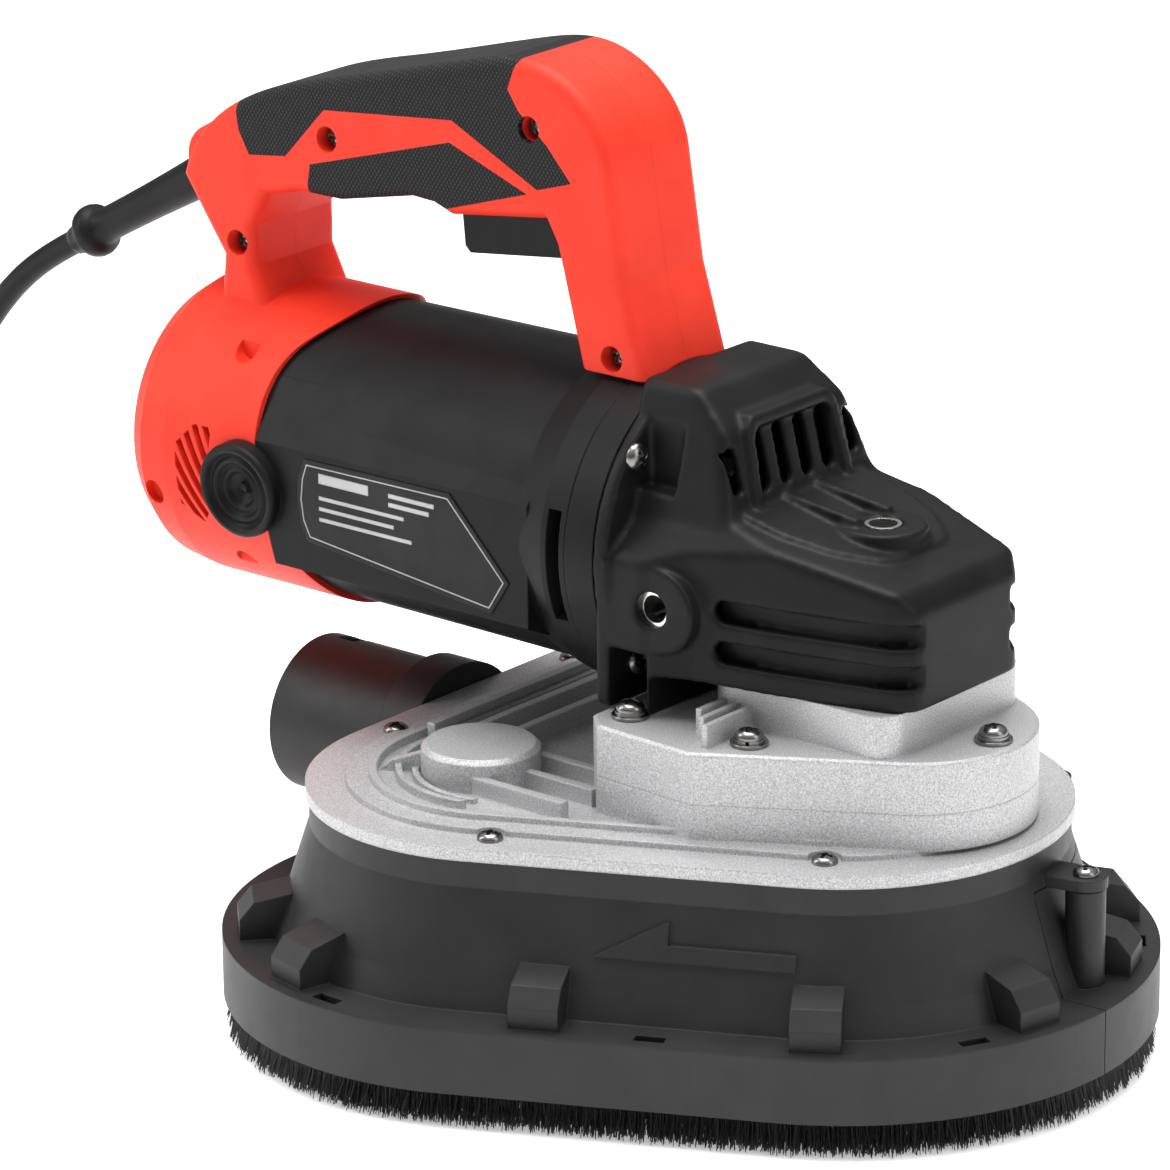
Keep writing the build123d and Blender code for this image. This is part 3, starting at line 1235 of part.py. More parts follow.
with BuildPart() as brush_caps:
    for side in (-1, 1):
        with BuildSketch(brush_plane(side, BARREL_BORE_R - 0.6)):
            Circle(11)
        extrude(amount=5.6)
        with BuildSketch(brush_plane(side, BARREL_BORE_R + 5)):
            Circle(7.5)
            Circle(6.5, mode=Mode.SUBTRACT)
            Rectangle(8, 1.6)
        extrude(amount=-1.2, mode=Mode.SUBTRACT)
write(brush_caps, "brush_caps")

with BuildPart() as label_plate:
    with BuildSketch(Plane((0, -FACET_Y, 0), x_dir=(1, 0, 0), z_dir=(0, -1, 0))):
        with BuildLine():
            edge = Polyline((-92, 160), (-34, 160.5), (-11, 137), (-18, 126), (-91, 134))
            ThreePointArc(edge @ 1, (-95, 147), edge @ 0)
        make_face()
    extrude(amount=0.4)
write(label_plate, "label_plate")
with BuildPart() as handle_screws:
    for x, z in HANDLE_SCREWS:
        with BuildSketch(Plane((x, -12, z), x_dir=(1, 0, 0), z_dir=(0, -1, 0))):
            Circle(3.6)
        extrude(amount=2.4)
        with BuildSketch(Plane((x, -12, z), x_dir=(1, 0, 0), z_dir=(0, 1, 0))):
            Circle(1.8)
        extrude(amount=20)
        with BuildSketch(Plane((x, -14.4, z), x_dir=(1, 0, 0), z_dir=(0, 1, 0))):
            Rectangle(4.6, 1)
            Rectangle(1, 4.6)
        extrude(amount=1.4, mode=Mode.SUBTRACT)
write(handle_screws, "handle_screws")

with BuildPart() as trigger:
    with BuildSketch(Plane.XZ):
        with BuildLine():
            Polyline(
                (TRIGGER_X[0], 246),
                (TRIGGER_X[0] + 2, 224),
                (TRIGGER_X[0] + 4, 222),
                (TRIGGER_X[1], 226.5),
                (TRIGGER_X[1], 246.5),
                close=True,
            )
        make_face()
    extrude(amount=8.5, both=True)
    with BuildSketch(Plane.XZ):
        with Locations(TRIGGER_PIN):
            Circle(2.06)
    extrude(amount=20, both=True, mode=Mode.SUBTRACT)
write(trigger, "trigger")

with BuildPart() as trigger_pin:
    with BuildSketch(Plane.XZ):
        with Locations(TRIGGER_PIN):
            Circle(2)
    extrude(amount=HANDLE_HALF - HANDLE_WALL, both=True)
write(trigger_pin, "trigger_pin")

with BuildPart() as switch_body:
    block(SWITCH_X, (-10, 10), (253, 270))
    inside = HANDLE_HALF - HANDLE_WALL
    block((SWITCH_X[0] + 4, SWITCH_X[0] + 12), (-inside, inside), (262, 268))
write(switch_body, "switch_body")

with BuildPart() as speed_dial:
    with BuildSketch(dial_plane(-1.5)):
        Circle(DIAL_R)
        with PolarLocations(DIAL_R, 18):
            Circle(0.7, mode=Mode.SUBTRACT)
    extrude(amount=5.5)
    with BuildSketch(dial_plane(4)):
        Circle(3)
    extrude(amount=6)
write(speed_dial, "speed_dial")

# ---------------------------------------------------------------- mains lead

RELIEF_PROFILE = ((-8, 6.8), (0, 6.8), (1, 6.4), (36, 5), (60, 5), (62, 8), (67, 8), (69, 5.2), (74, 4.8))
CORD_ROUTE = (
    (-230.72, 0, 194.12),
    (-245, 0, 186.2),
    (-261.5, 0.5, 173),
    (-276.5, 1.5, 156),
    (-288.5, 3, 135.5),
    (-297, 4.5, 112),
    (-302.5, 5.5, 87.5),
    (-308, 5.5, 64),
    (-315.5, 5.3, 42),
    (-328, 5, 21.5),
    (-347, 4.5, 7.5),
    (-370, 4, 4),
    (-391, 4, 4),
)
COIL_CENTRE = (-423, -50.5)
COIL_R = (32, 58.5)
COIL_H = 24
TURN_R = 54.5
STUB = 32
TAIL_ANGLE = 270
TAIL_Z = 18


def arc_radii(route):
    """The largest arc that the two runs at each corner allow."""
    points = [Vector(*p) for p in route]
    radii = []
    for before, corner, after in zip(points, points[1:], points[2:]):
        shorter = min((corner - before).length, (after - corner).length)
        turn = radians((corner - before).get_angle(after - corner))
        radii.append(0.45 * shorter / tan(turn / 2))
    return radii


with BuildPart() as strain_relief:
    relief_axis = cord_plane(0)
    with BuildSketch(Plane(CORD_EXIT, x_dir=tuple(relief_axis.z_dir), z_dir=(0, -1, 0))):
        with BuildLine():
            profile = ((RELIEF_PROFILE[0][0], 0), *RELIEF_PROFILE, (RELIEF_PROFILE[-1][0], 0))
            Polyline(*profile, close=True)
        make_face()
    revolve(axis=Axis(CORD_EXIT, tuple(relief_axis.z_dir)))
write(strain_relief, "strain_relief")
cord_radii = arc_radii(CORD_ROUTE)
print("cord arc radii:", [round(r) for r in cord_radii])
with BuildPart() as power_cord:
    with BuildLine() as route:
        FilletPolyline(*CORD_ROUTE, radius=cord_radii)
    with BuildSketch(Plane(route.line @ 0, z_dir=route.line % 0)):
        Circle(CORD_R)
    sweep()
cord_length = sum(edge.length for edge in route.edges())
tube_length = power_cord.part.volume / (pi * CORD_R**2)
print("cord tube length:", round(cord_length), "by volume:", round(tube_length))
write(power_cord, "power_cord")

tail_turn = radians(TAIL_ANGLE)
tail_along = (-sin(tail_turn), cos(tail_turn), 0)
tail_start = (COIL_CENTRE[0] + TURN_R * cos(tail_turn), COIL_CENTRE[1] + TURN_R * sin(tail_turn), TAIL_Z)
tail_plane = Plane(tail_start, x_dir=(0, 0, 1), z_dir=tail_along)

with BuildPart() as cord_coil:
    cylinder_z(*COIL_CENTRE, COIL_R[1], 0, COIL_H)
    cylinder_z(*COIL_CENTRE, COIL_R[0], 0, COIL_H, mode=Mode.SUBTRACT)
    with BuildSketch(Plane(CORD_ROUTE[-1], x_dir=(0, 0, 1), z_dir=(-1, 0, 0))):
        Circle(CORD_R)
    extrude(amount=STUB)
    with BuildSketch(tail_plane):
        Circle(CORD_R)
    extrude(amount=STUB)
write(cord_coil, "cord_coil")

PLUG_AXIS = Axis(tail_start, tail_along)

with BuildPart() as plug:
    with BuildSketch(Plane(tail_start, x_dir=tail_along, z_dir=(tail_along[1], -tail_along[0], 0))):
        with BuildLine():
            Polyline(
                (STUB, 0), (STUB, 5.5), (STUB + 20, 7.5), (STUB + 24, 13), (STUB + 30, 17.5),
                (STUB + 54, 17.5), (STUB + 58, 14), (STUB + 58, 0), close=True,
            )
        make_face()
    revolve(axis=PLUG_AXIS)
    with BuildSketch(tail_plane.offset(STUB + 56)):
        with Locations((0, -9.5), (0, 9.5)):
            Circle(2.4)
    extrude(amount=21)
write(plug, "plug")
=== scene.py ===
import json
import random
from math import atan2, cos, degrees, hypot, pi, radians, sin, tau

import bmesh
import bpy
from mathutils import Matrix, Vector


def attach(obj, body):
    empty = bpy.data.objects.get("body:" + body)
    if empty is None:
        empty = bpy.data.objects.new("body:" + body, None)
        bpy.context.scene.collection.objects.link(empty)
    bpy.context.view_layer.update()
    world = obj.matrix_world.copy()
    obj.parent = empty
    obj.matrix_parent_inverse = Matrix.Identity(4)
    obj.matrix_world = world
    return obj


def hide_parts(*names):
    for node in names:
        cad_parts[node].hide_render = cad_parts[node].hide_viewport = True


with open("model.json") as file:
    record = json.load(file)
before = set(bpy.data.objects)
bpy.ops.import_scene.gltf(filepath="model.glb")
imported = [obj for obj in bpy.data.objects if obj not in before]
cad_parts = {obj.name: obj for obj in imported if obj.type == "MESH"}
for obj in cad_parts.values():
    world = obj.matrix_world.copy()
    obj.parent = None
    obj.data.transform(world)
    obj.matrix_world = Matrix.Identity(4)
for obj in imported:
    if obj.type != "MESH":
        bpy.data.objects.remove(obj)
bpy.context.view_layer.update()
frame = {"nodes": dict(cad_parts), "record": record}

MM = 0.001
random.seed(7)

# ---------------------------------------------------------------- facts repeated from the CAD (metres)

FRONT_CORNER = (0.076, 0.0, 0.070)
REAR_CORNERS = ((-0.009, 0.050, 0.062), (-0.009, -0.050, 0.062))
MOTOR_Z = 0.150
CORD_EXIT = (-0.166, 0.0, 0.230)
CORD_SLOPE = radians(29)
CORD_R = 0.004
CORD_ROUTE_MM = (
    (-230.72, 0, 194.12),
    (-245, 0, 186.2),
    (-261.5, 0.5, 173),
    (-276.5, 1.5, 156),
    (-288.5, 3, 135.5),
    (-297, 4.5, 112),
    (-302.5, 5.5, 87.5),
    (-308, 5.5, 64),
    (-315.5, 5.3, 42),
    (-328, 5, 21.5),
    (-347, 4.5, 7.5),
    (-370, 4, 4),
)


# ---------------------------------------------------------------- camera, light and floor

VIEW_AZIMUTH = radians(39.6)
VIEW_ELEVATION = radians(18.8)
VIEW_ROLL = radians(-0.5)
VIEW_CENTRE = Vector((-0.0364, 0.0181, 0.1136))
VIEW_DISTANCE = 2.0
VIEW_LENS = 200


def make_camera():
    """A long lens, a little above the machine, on its right front side."""
    right = Vector((cos(VIEW_AZIMUTH), sin(VIEW_AZIMUTH), 0))
    forward = Vector((
        -sin(VIEW_AZIMUTH) * cos(VIEW_ELEVATION),
        cos(VIEW_AZIMUTH) * cos(VIEW_ELEVATION),
        -sin(VIEW_ELEVATION),
    ))
    turn = Matrix.Rotation(-VIEW_ROLL, 3, forward)
    right = turn @ right
    up = right.cross(forward)
    data = bpy.data.cameras.new("camera")
    data.lens = VIEW_LENS
    data.sensor_width = 36
    data.clip_end = 20
    camera = bpy.data.objects.new("camera", data)
    bpy.context.scene.collection.objects.link(camera)
    axes = Matrix((right, up, -forward)).transposed()
    camera.matrix_world = Matrix.Translation(VIEW_CENTRE - VIEW_DISTANCE * forward) @ axes.to_4x4()
    bpy.context.scene.camera = camera


def add_light(name, place, target, size, power, size_y=None):
    """A soft rectangular lamp at `place`, turned to face `target`."""
    data = bpy.data.lights.new(name, "AREA")
    data.energy = power
    data.shape = "RECTANGLE"
    data.size = size
    data.size_y = size_y or size
    lamp = bpy.data.objects.new(name, data)
    bpy.context.scene.collection.objects.link(lamp)
    lamp.location = place
    lamp.rotation_mode = "QUATERNION"
    lamp.rotation_quaternion = (Vector(target) - Vector(place)).to_track_quat("-Z", "Y")


HORIZON_LIGHT = (0.07, 0.07, 0.07)
ZENITH_LIGHT = (0.75, 0.75, 0.75)
LIGHT_TARGET = (0, 0, 0.1)
FLOOR_REACH = 30.0
FLOOR_DROP = 0.0004
FLOOR_GREY = 0.93
FLOOR_GLOW = 0.4


def make_studio():
    """Surroundings that brighten towards the top, a large overhead lamp and a strip from each side."""
    world = bpy.data.worlds.new("studio")
    world.use_nodes = True
    tree = world.node_tree
    place = tree.nodes.new("ShaderNodeTexCoord")
    split = tree.nodes.new("ShaderNodeSeparateXYZ")
    tree.links.new(place.outputs["Generated"], split.inputs["Vector"])
    sky = ramp(tree, split.outputs["Z"], HORIZON_LIGHT, ZENITH_LIGHT, 0.05, 0.8)
    tree.links.new(sky, tree.nodes["Background"].inputs["Color"])
    bpy.context.scene.world = world
    bpy.context.scene.view_settings.view_transform = "Standard"
    add_light("overhead", (-0.1, 0.1, 1.5), LIGHT_TARGET, 1.1, 30)
    add_light("left_strip", (-1.2, -0.9, 0.9), LIGHT_TARGET, 0.5, 12, 1.4)
    add_light("right_strip", (1.3, 0.1, 0.8), LIGHT_TARGET, 0.5, 5, 1.3)


def make_floor():
    """A pale sheet under everything, wide enough to fill low views, with a faint glow of its own."""
    mesh = bpy.data.meshes.new("floor")
    reach = FLOOR_REACH
    corners = [(-reach, -reach, 0), (reach, -reach, 0), (reach, reach, 0), (-reach, reach, 0)]
    mesh.from_pydata(corners, [], [(0, 1, 2, 3)])
    floor = bpy.data.objects.new("floor", mesh)
    bpy.context.scene.collection.objects.link(floor)
    floor.location.z = -FLOOR_DROP
    material, shader = new_material("floor_paper")
    shader.inputs["Base Color"].default_value = (FLOOR_GREY, FLOOR_GREY, FLOOR_GREY, 1)
    shader.inputs["Roughness"].default_value = 0.8
    shader.inputs["Emission Color"].default_value = (1, 1, 1, 1)
    shader.inputs["Emission Strength"].default_value = FLOOR_GLOW
    mesh.materials.append(material)


# ---------------------------------------------------------------- materials


def new_material(name):
    """A material and its shader."""
    material = bpy.data.materials.new(name)
    material.use_nodes = True
    return material, material.node_tree.nodes["Principled BSDF"]


def noise(tree, size, detail=2.0, roughness=0.5, stretch=None):
    """A noise texture whose features are about `size` metres across."""
    place = tree.nodes.new("ShaderNodeTexCoord")
    texture = tree.nodes.new("ShaderNodeTexNoise")
    texture.inputs["Scale"].default_value = 1 / size
    texture.inputs["Detail"].default_value = detail
    texture.inputs["Roughness"].default_value = roughness
    source = place.outputs["Object"]
    if stretch:
        scaled = tree.nodes.new("ShaderNodeMapping")
        scaled.inputs["Scale"].default_value = stretch
        tree.links.new(source, scaled.inputs["Vector"])
        source = scaled.outputs["Vector"]
    tree.links.new(source, texture.inputs["Vector"])
    return texture.outputs["Fac"]


def ramp(tree, source, low, high, start=0.3, end=0.7):
    """Turns a 0 to 1 value into a colour between `low` and `high`."""
    node = tree.nodes.new("ShaderNodeValToRGB")
    node.color_ramp.elements[0].position = start
    node.color_ramp.elements[1].position = end
    node.color_ramp.elements[0].color = (*low, 1)
    node.color_ramp.elements[1].color = (*high, 1)
    tree.links.new(source, node.inputs["Fac"])
    return node.outputs["Color"]


def spread(tree, source, low, high):
    """Maps a 0 to 1 value to the range from `low` to `high`."""
    node = tree.nodes.new("ShaderNodeMapRange")
    node.inputs["To Min"].default_value = low
    node.inputs["To Max"].default_value = high
    tree.links.new(source, node.inputs["Value"])
    return node.outputs["Result"]


def relief(tree, shader, source, depth, edge=0.0):
    """Bumps the surface by `source`, over edges rounded to the radius `edge`."""
    bump = tree.nodes.new("ShaderNodeBump")
    bump.inputs["Distance"].default_value = depth
    bump.inputs["Strength"].default_value = 1.0
    tree.links.new(source, bump.inputs["Height"])
    if edge:
        rounded = tree.nodes.new("ShaderNodeBevel")
        rounded.samples = 4
        rounded.inputs["Radius"].default_value = edge
        tree.links.new(rounded.outputs["Normal"], bump.inputs["Normal"])
    tree.links.new(bump.outputs["Normal"], shader.inputs["Normal"])


def moulded(name, dark, light, gloss=(0.38, 0.5), grain=0.0005, depth=0.00003, edge=0.0007, sheen=0.13):
    """Injection-moulded plastic with a fine eroded grain and slightly uneven gloss."""
    material, shader = new_material(name)
    tree = material.node_tree
    tree.links.new(ramp(tree, noise(tree, 0.02, 3), dark, light), shader.inputs["Base Color"])
    tree.links.new(spread(tree, noise(tree, 0.008, 4), *gloss), shader.inputs["Roughness"])
    relief(tree, shader, noise(tree, grain, 3, 0.6), depth, edge)
    shader.inputs["Specular IOR Level"].default_value = sheen
    return material


def casting(name):
    """Sandy silver-grey die casting with bright flecks."""
    material, shader = new_material(name)
    tree = material.node_tree
    flecks = noise(tree, 0.0005, 3, 0.7)
    grey = ramp(tree, flecks, (0.31, 0.31, 0.315), (0.62, 0.62, 0.63), 0.36, 0.64)
    tree.links.new(grey, shader.inputs["Base Color"])
    tree.links.new(spread(tree, noise(tree, 0.0015, 4), 0.34, 0.58), shader.inputs["Roughness"])
    shader.inputs["Metallic"].default_value = 0.45
    relief(tree, shader, noise(tree, 0.0009, 4, 0.7), 0.00012, 0.0009)
    return material


def steel(name, colour, roughness, grain=0.0004):
    """Machined steel with a faint lay of tool marks."""
    material, shader = new_material(name)
    tree = material.node_tree
    marks = noise(tree, grain, 2, 0.5, stretch=(1, 1, 6))
    low = tuple(0.85 * c for c in colour)
    tree.links.new(ramp(tree, marks, low, colour), shader.inputs["Base Color"])
    tree.links.new(spread(tree, marks, roughness * 0.8, roughness * 1.3), shader.inputs["Roughness"])
    shader.inputs["Metallic"].default_value = 1
    relief(tree, shader, marks, 0.00001, 0.0002)
    return material


GRIP_WAVES = 260


def woven_rubber(name):
    """Black soft grip with a fine diamond pattern; its colour holds painted shade, near black in the
    pattern's grooves and dark grey on its ridges.
    """
    material, shader = new_material(name)
    tree = material.node_tree
    place = tree.nodes.new("ShaderNodeTexCoord")
    heights = []
    for turn in (35, -35):
        turned = tree.nodes.new("ShaderNodeMapping")
        turned.inputs["Rotation"].default_value = (0, radians(turn), 0)
        tree.links.new(place.outputs["Object"], turned.inputs["Vector"])
        waves = tree.nodes.new("ShaderNodeTexWave")
        waves.inputs["Scale"].default_value = GRIP_WAVES
        waves.inputs["Distortion"].default_value = 0
        tree.links.new(turned.outputs["Vector"], waves.inputs["Vector"])
        heights.append(waves.outputs["Fac"])
    both = tree.nodes.new("ShaderNodeMath")
    both.operation = "MULTIPLY"
    tree.links.new(heights[0], both.inputs[0])
    tree.links.new(heights[1], both.inputs[1])
    # painted shade: the colour follows the pattern's height, darker in the grooves than on the ridges
    colour = ramp(tree, both.outputs["Value"], (0.004, 0.004, 0.005), (0.034, 0.034, 0.036), 0.1, 0.8)
    tree.links.new(colour, shader.inputs["Base Color"])
    tree.links.new(spread(tree, noise(tree, 0.004, 3), 0.5, 0.68), shader.inputs["Roughness"])
    shader.inputs["Specular IOR Level"].default_value = 0.2
    relief(tree, shader, both.outputs["Value"], 0.0003, 0.0006)
    return material


def rubber(name, dark, light, roughness=(0.42, 0.6)):
    """Plain black rubber or cable sheath."""
    return moulded(name, dark, light, roughness, grain=0.0009, depth=0.00002, edge=0.0004)


def grit(name):
    """Coated abrasive: dark red-brown grains on a backing."""
    material, shader = new_material(name)
    tree = material.node_tree
    grains = noise(tree, 0.0006, 4, 0.8)
    colour = ramp(tree, grains, (0.05, 0.022, 0.012), (0.30, 0.15, 0.08))
    tree.links.new(colour, shader.inputs["Base Color"])
    tree.links.new(spread(tree, grains, 0.7, 0.95), shader.inputs["Roughness"])
    relief(tree, shader, grains, 0.0004)
    return material


def windings(name):
    """Enamelled copper wire laid side by side."""
    material, shader = new_material(name)
    tree = material.node_tree
    lay = noise(tree, 0.0008, 2, 0.5, stretch=(0.15, 1, 1))
    tree.links.new(ramp(tree, lay, (0.25, 0.09, 0.03), (0.72, 0.33, 0.14)), shader.inputs["Base Color"])
    tree.links.new(spread(tree, lay, 0.25, 0.45), shader.inputs["Roughness"])
    shader.inputs["Metallic"].default_value = 0.9
    relief(tree, shader, lay, 0.0002)
    return material


def bristle(name):
    """Stiff black nylon."""
    material, shader = new_material(name)
    tree = material.node_tree
    colour = ramp(tree, noise(tree, 0.0012, 3), (0.004, 0.004, 0.004), (0.02, 0.02, 0.021))
    tree.links.new(colour, shader.inputs["Base Color"])
    tree.links.new(spread(tree, noise(tree, 0.001, 2), 0.35, 0.55), shader.inputs["Roughness"])
    return material


BLACK = moulded("black_plastic", (0.006, 0.006, 0.0065), (0.010, 0.010, 0.0105))
SHROUD_BLACK = moulded(
    "shroud_plastic", (0.010, 0.010, 0.0105), (0.016, 0.016, 0.017), (0.42, 0.56), depth=0.00005, sheen=0.36
)
RED = moulded(
    "red_plastic", (0.72, 0.034, 0.016), (0.80, 0.044, 0.021), (0.42, 0.54), 0.0006, 0.00006, sheen=0.16
)
CAST = casting("cast_alloy")
SCREW = steel("dark_nickel", (0.24, 0.235, 0.23), 0.24)
GEAR = steel("gear_steel", (0.5, 0.5, 0.5), 0.28)
BRIGHT = steel("bright_steel", (0.72, 0.72, 0.70), 0.22)
BRASS = steel("brass", (0.72, 0.52, 0.22), 0.3)
LAMINATION = steel("laminations", (0.22, 0.22, 0.23), 0.5, 0.0012)
GRIP = woven_rubber("grip_rubber")
RUBBER = rubber("pad_rubber", (0.01, 0.01, 0.011), (0.018, 0.018, 0.019))
SHEATH = rubber("cord_sheath", (0.007, 0.007, 0.0075), (0.012, 0.012, 0.012), (0.36, 0.5))
GRIT = grit("abrasive")
COPPER = windings("copper")
CARBON = rubber("carbon", (0.02, 0.02, 0.02), (0.035, 0.035, 0.035))
NYLON = moulded("natural_nylon", (0.42, 0.42, 0.38), (0.5, 0.5, 0.46))
LABEL = moulded("label_face", (0.010, 0.010, 0.011), (0.02, 0.02, 0.022), (0.25, 0.35), grain=0.0004)
BRISTLE = bristle("bristle_nylon")
PRINT = moulded("label_ink", (0.42, 0.42, 0.42), (0.5, 0.5, 0.5))

SLOT_MATERIALS = {
    "shroud_plastic": SHROUD_BLACK,
    "bristle": BRISTLE,
    "cast_alloy": CAST,
    "screw_steel": SCREW,
    "gear_steel": GEAR,
    "bearing_steel": BRIGHT,
    "pad_rubber": RUBBER,
    "abrasive": GRIT,
    "head_plastic": BLACK,
    "insert_steel": BRIGHT,
    "laminations": LAMINATION,
    "copper": COPPER,
    "brass": BRASS,
    "carbon": CARBON,
    "fan_plastic": NYLON,
    "cap_plastic": BLACK,
    "red_plastic": RED,
    "grip_rubber": GRIP,
    "trigger_plastic": BLACK,
    "label": LABEL,
    "cord_sheath": SHEATH,
}


def dress(thing, material):
    """Gives an object one material on all its faces."""
    thing.data.materials.clear()
    thing.data.materials.append(material)


def dress_nodes():
    """Each CAD node takes the material of its slot in the record."""
    for part in frame["record"]["subparts"]:
        dress(frame["nodes"][part["node"]], SLOT_MATERIALS[part["material_slot"]])


# ---------------------------------------------------------------- cord


def add_piece(name, data, body, material, slot, *replaced):
    """Puts a new piece in the scene on a body, in place of the CAD nodes named."""
    piece = bpy.data.objects.new(name, data)
    bpy.context.scene.collection.objects.link(piece)
    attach(piece, body)
    data.materials.append(material)
    if replaced:
        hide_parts(*replaced)
    return piece


COIL_CENTRE_MM = (-423, -50.5)
COIL_OUTER_R = 54.5
COIL_INNER_R = 36
COIL_TURNS = 5.5
POINTS_PER_TURN = 20
CORD_D = 8
FIRST_RISE = (2.25, 2.45)
SECOND_RISE = (4.55, 4.75)


def share(value, low, high):
    """How far value has gone from low to high, kept between 0 and 1."""
    return min(1, max(0, (value - low) / (high - low)))


def coil_points():
    """The put-away length: one layer wound inwards, one outwards, and a last turn on top."""
    points = []
    for step in range(round(COIL_TURNS * POINTS_PER_TURN) + 1):
        turn = step / POINTS_PER_TURN
        inwards = share(turn, 0, FIRST_RISE[0])
        outwards = share(turn, FIRST_RISE[1], SECOND_RISE[0])
        radius = COIL_OUTER_R - (COIL_OUTER_R - COIL_INNER_R) * (inwards - outwards)
        height = CORD_D * (0.5 + share(turn, *FIRST_RISE) + share(turn, *SECOND_RISE))
        angle = tau * (0.25 + turn)
        x = COIL_CENTRE_MM[0] + radius * cos(angle)
        y = COIL_CENTRE_MM[1] + radius * sin(angle)
        points.append((x, y, height))
    return points


TAIL_END_MM = (-391, -105, 18)
STUB_START_MM = (-391, 4, 4)


def make_cord():
    """The supply cord, from its relief down to the floor and into the coil."""
    tail = [(-414, -105, 19.8), (-402, -105, 18.6), TAIL_END_MM]
    points = [*CORD_ROUTE_MM, STUB_START_MM, *coil_points(), *tail]
    curve = bpy.data.curves.new("cord", "CURVE")
    curve.dimensions = "3D"
    curve.bevel_depth = 1
    curve.bevel_resolution = 6
    curve.use_fill_caps = True
    spline = curve.splines.new("NURBS")
    spline.points.add(len(points) - 1)
    for point, place in zip(spline.points, points):
        point.co = (*(MM * c for c in place), 1)
        point.radius = CORD_R
    spline.order_u = 3
    spline.use_endpoint_u = True
    spline.resolution_u = 8
    cord = add_piece("cord", curve, "machine", SHEATH, "cord_sheath", "power_cord", "cord_coil")


# ---------------------------------------------------------------- brush

STRAND_TOP = 0.016
STRAND_ROWS = 13
ROW_GROW = (0.0165, 0.0222)
STRAND_SPACING = 0.00062
STRAND_R = 0.00021
SEGMENT_ANGLES = (1, 85)
SPLAY_LIMIT = 0.0034
SKIRT_INSIDE = 0.0252
SHORTEST_FOOT = 0.0002
STRIP_BOTTOM = 0.0145
STRIP_TOP = 0.019


def outline_runs(grow):
    """The base outline as (length, place) runs, counter-clockwise: each corner's arc, then an edge."""
    corners = (FRONT_CORNER, *REAR_CORNERS)
    normals = []
    for (x, y, r), (next_x, next_y, next_r) in zip(corners, corners[1:] + corners[:1]):
        span = hypot(next_x - x, next_y - y)
        along = ((next_x - x) / span, (next_y - y) / span)
        lean = (r - next_r) / span
        across = (1 - lean * lean) ** 0.5
        normals.append(atan2(along[1] * lean - along[0] * across, along[0] * lean + along[1] * across))
    runs = []
    for index, (x, y, r) in enumerate(corners):
        start, end = normals[index - 1], normals[index]
        turn = (end - start) % tau
        radius = r + grow

        def arc(s, x=x, y=y, radius=radius, start=start):
            angle = start + s / radius
            return x + radius * cos(angle), y + radius * sin(angle), angle

        runs.append((turn * radius, arc))
        next_x, next_y, next_r = corners[(index + 1) % 3]
        from_x, from_y = x + radius * cos(end), y + radius * sin(end)
        to_x = next_x + (next_r + grow) * cos(end)
        to_y = next_y + (next_r + grow) * sin(end)
        span = hypot(to_x - from_x, to_y - from_y)

        def edge(s, a=(from_x, from_y), b=(to_x, to_y), span=span, end=end):
            part = s / span
            return a[0] + part * (b[0] - a[0]), a[1] + part * (b[1] - a[1]), end

        runs.append((span, edge))
    return runs


def outline_places(grow, spacing, shift=0.0):
    """Evenly spaced (x, y, outward angle) places on the outline grown by `grow`."""
    places = []
    left = shift * spacing
    for length, place in outline_runs(grow):
        while left < length:
            places.append(place(left))
            left += spacing
        left -= length
    return places


def on_segment(x, y, margin):
    """True where the removable front segment carries the brush; None in the seams."""
    angle = degrees(atan2(y - FRONT_CORNER[1], x - FRONT_CORNER[0]))
    low, high = SEGMENT_ANGLES
    if abs(angle - low) < margin or abs(angle - high) < margin:
        return None
    return low < angle < high


def add_strand(verts, faces, x, y, angle, out, lean, foot, radius):
    """One stiff bristle: a thin three-sided prism that bends outwards to a cut tip."""
    out_x, out_y = cos(angle), sin(angle)
    side_x, side_y = -out_y, out_x
    base = len(verts)
    levels = ((STRAND_TOP, 0, 1), (0.45 * STRAND_TOP + 0.3 * foot, 0.35, 0.95), (foot, 1, 0.75))
    for height, bend, girth in levels:
        centre_x = x + bend * (out * out_x + lean * side_x)
        centre_y = y + bend * (out * out_y + lean * side_y)
        for corner in range(3):
            turn = angle + tau * corner / 3
            reach = radius * girth
            verts.append((centre_x + reach * cos(turn), centre_y + reach * sin(turn), height))
    for level in (0, 3):
        for corner in range(3):
            a, b = base + level + corner, base + level + (corner + 1) % 3
            faces.append((a, a + 3, b + 3, b))
    faces.append((base + 6, base + 8, base + 7))


def backing(verts, faces, segment):
    """The moulded strip, just inside the skirt, that holds the bristles' roots."""
    inner = outline_places(ROW_GROW[0] - 0.001, 0.004)
    count = len(inner)
    ring = []
    for index, (x, y, angle) in enumerate(inner):
        inside = on_segment(x, y, 0.6)
        if inside is None or inside != segment:
            ring.append(None)
            continue
        width = ROW_GROW[1] - ROW_GROW[0] + 0.0015
        base = len(verts)
        profile = ((0, STRIP_BOTTOM), (width, STRIP_BOTTOM), (width, STRIP_TOP), (0, STRIP_TOP))
        for reach, height in profile:
            verts.append((x + reach * cos(angle), y + reach * sin(angle), height))
        ring.append(base)
    for index in range(count):
        a, b = ring[index], ring[(index + 1) % count]
        if a is None or b is None:
            for end in (a, b):
                if end is not None:
                    order = (3, 2, 1, 0) if end is a else (0, 1, 2, 3)
                    faces.append(tuple(end + k for k in order))
            continue
        for side in range(4):
            faces.append((a + side, b + side, b + (side + 1) % 4, a + (side + 1) % 4))


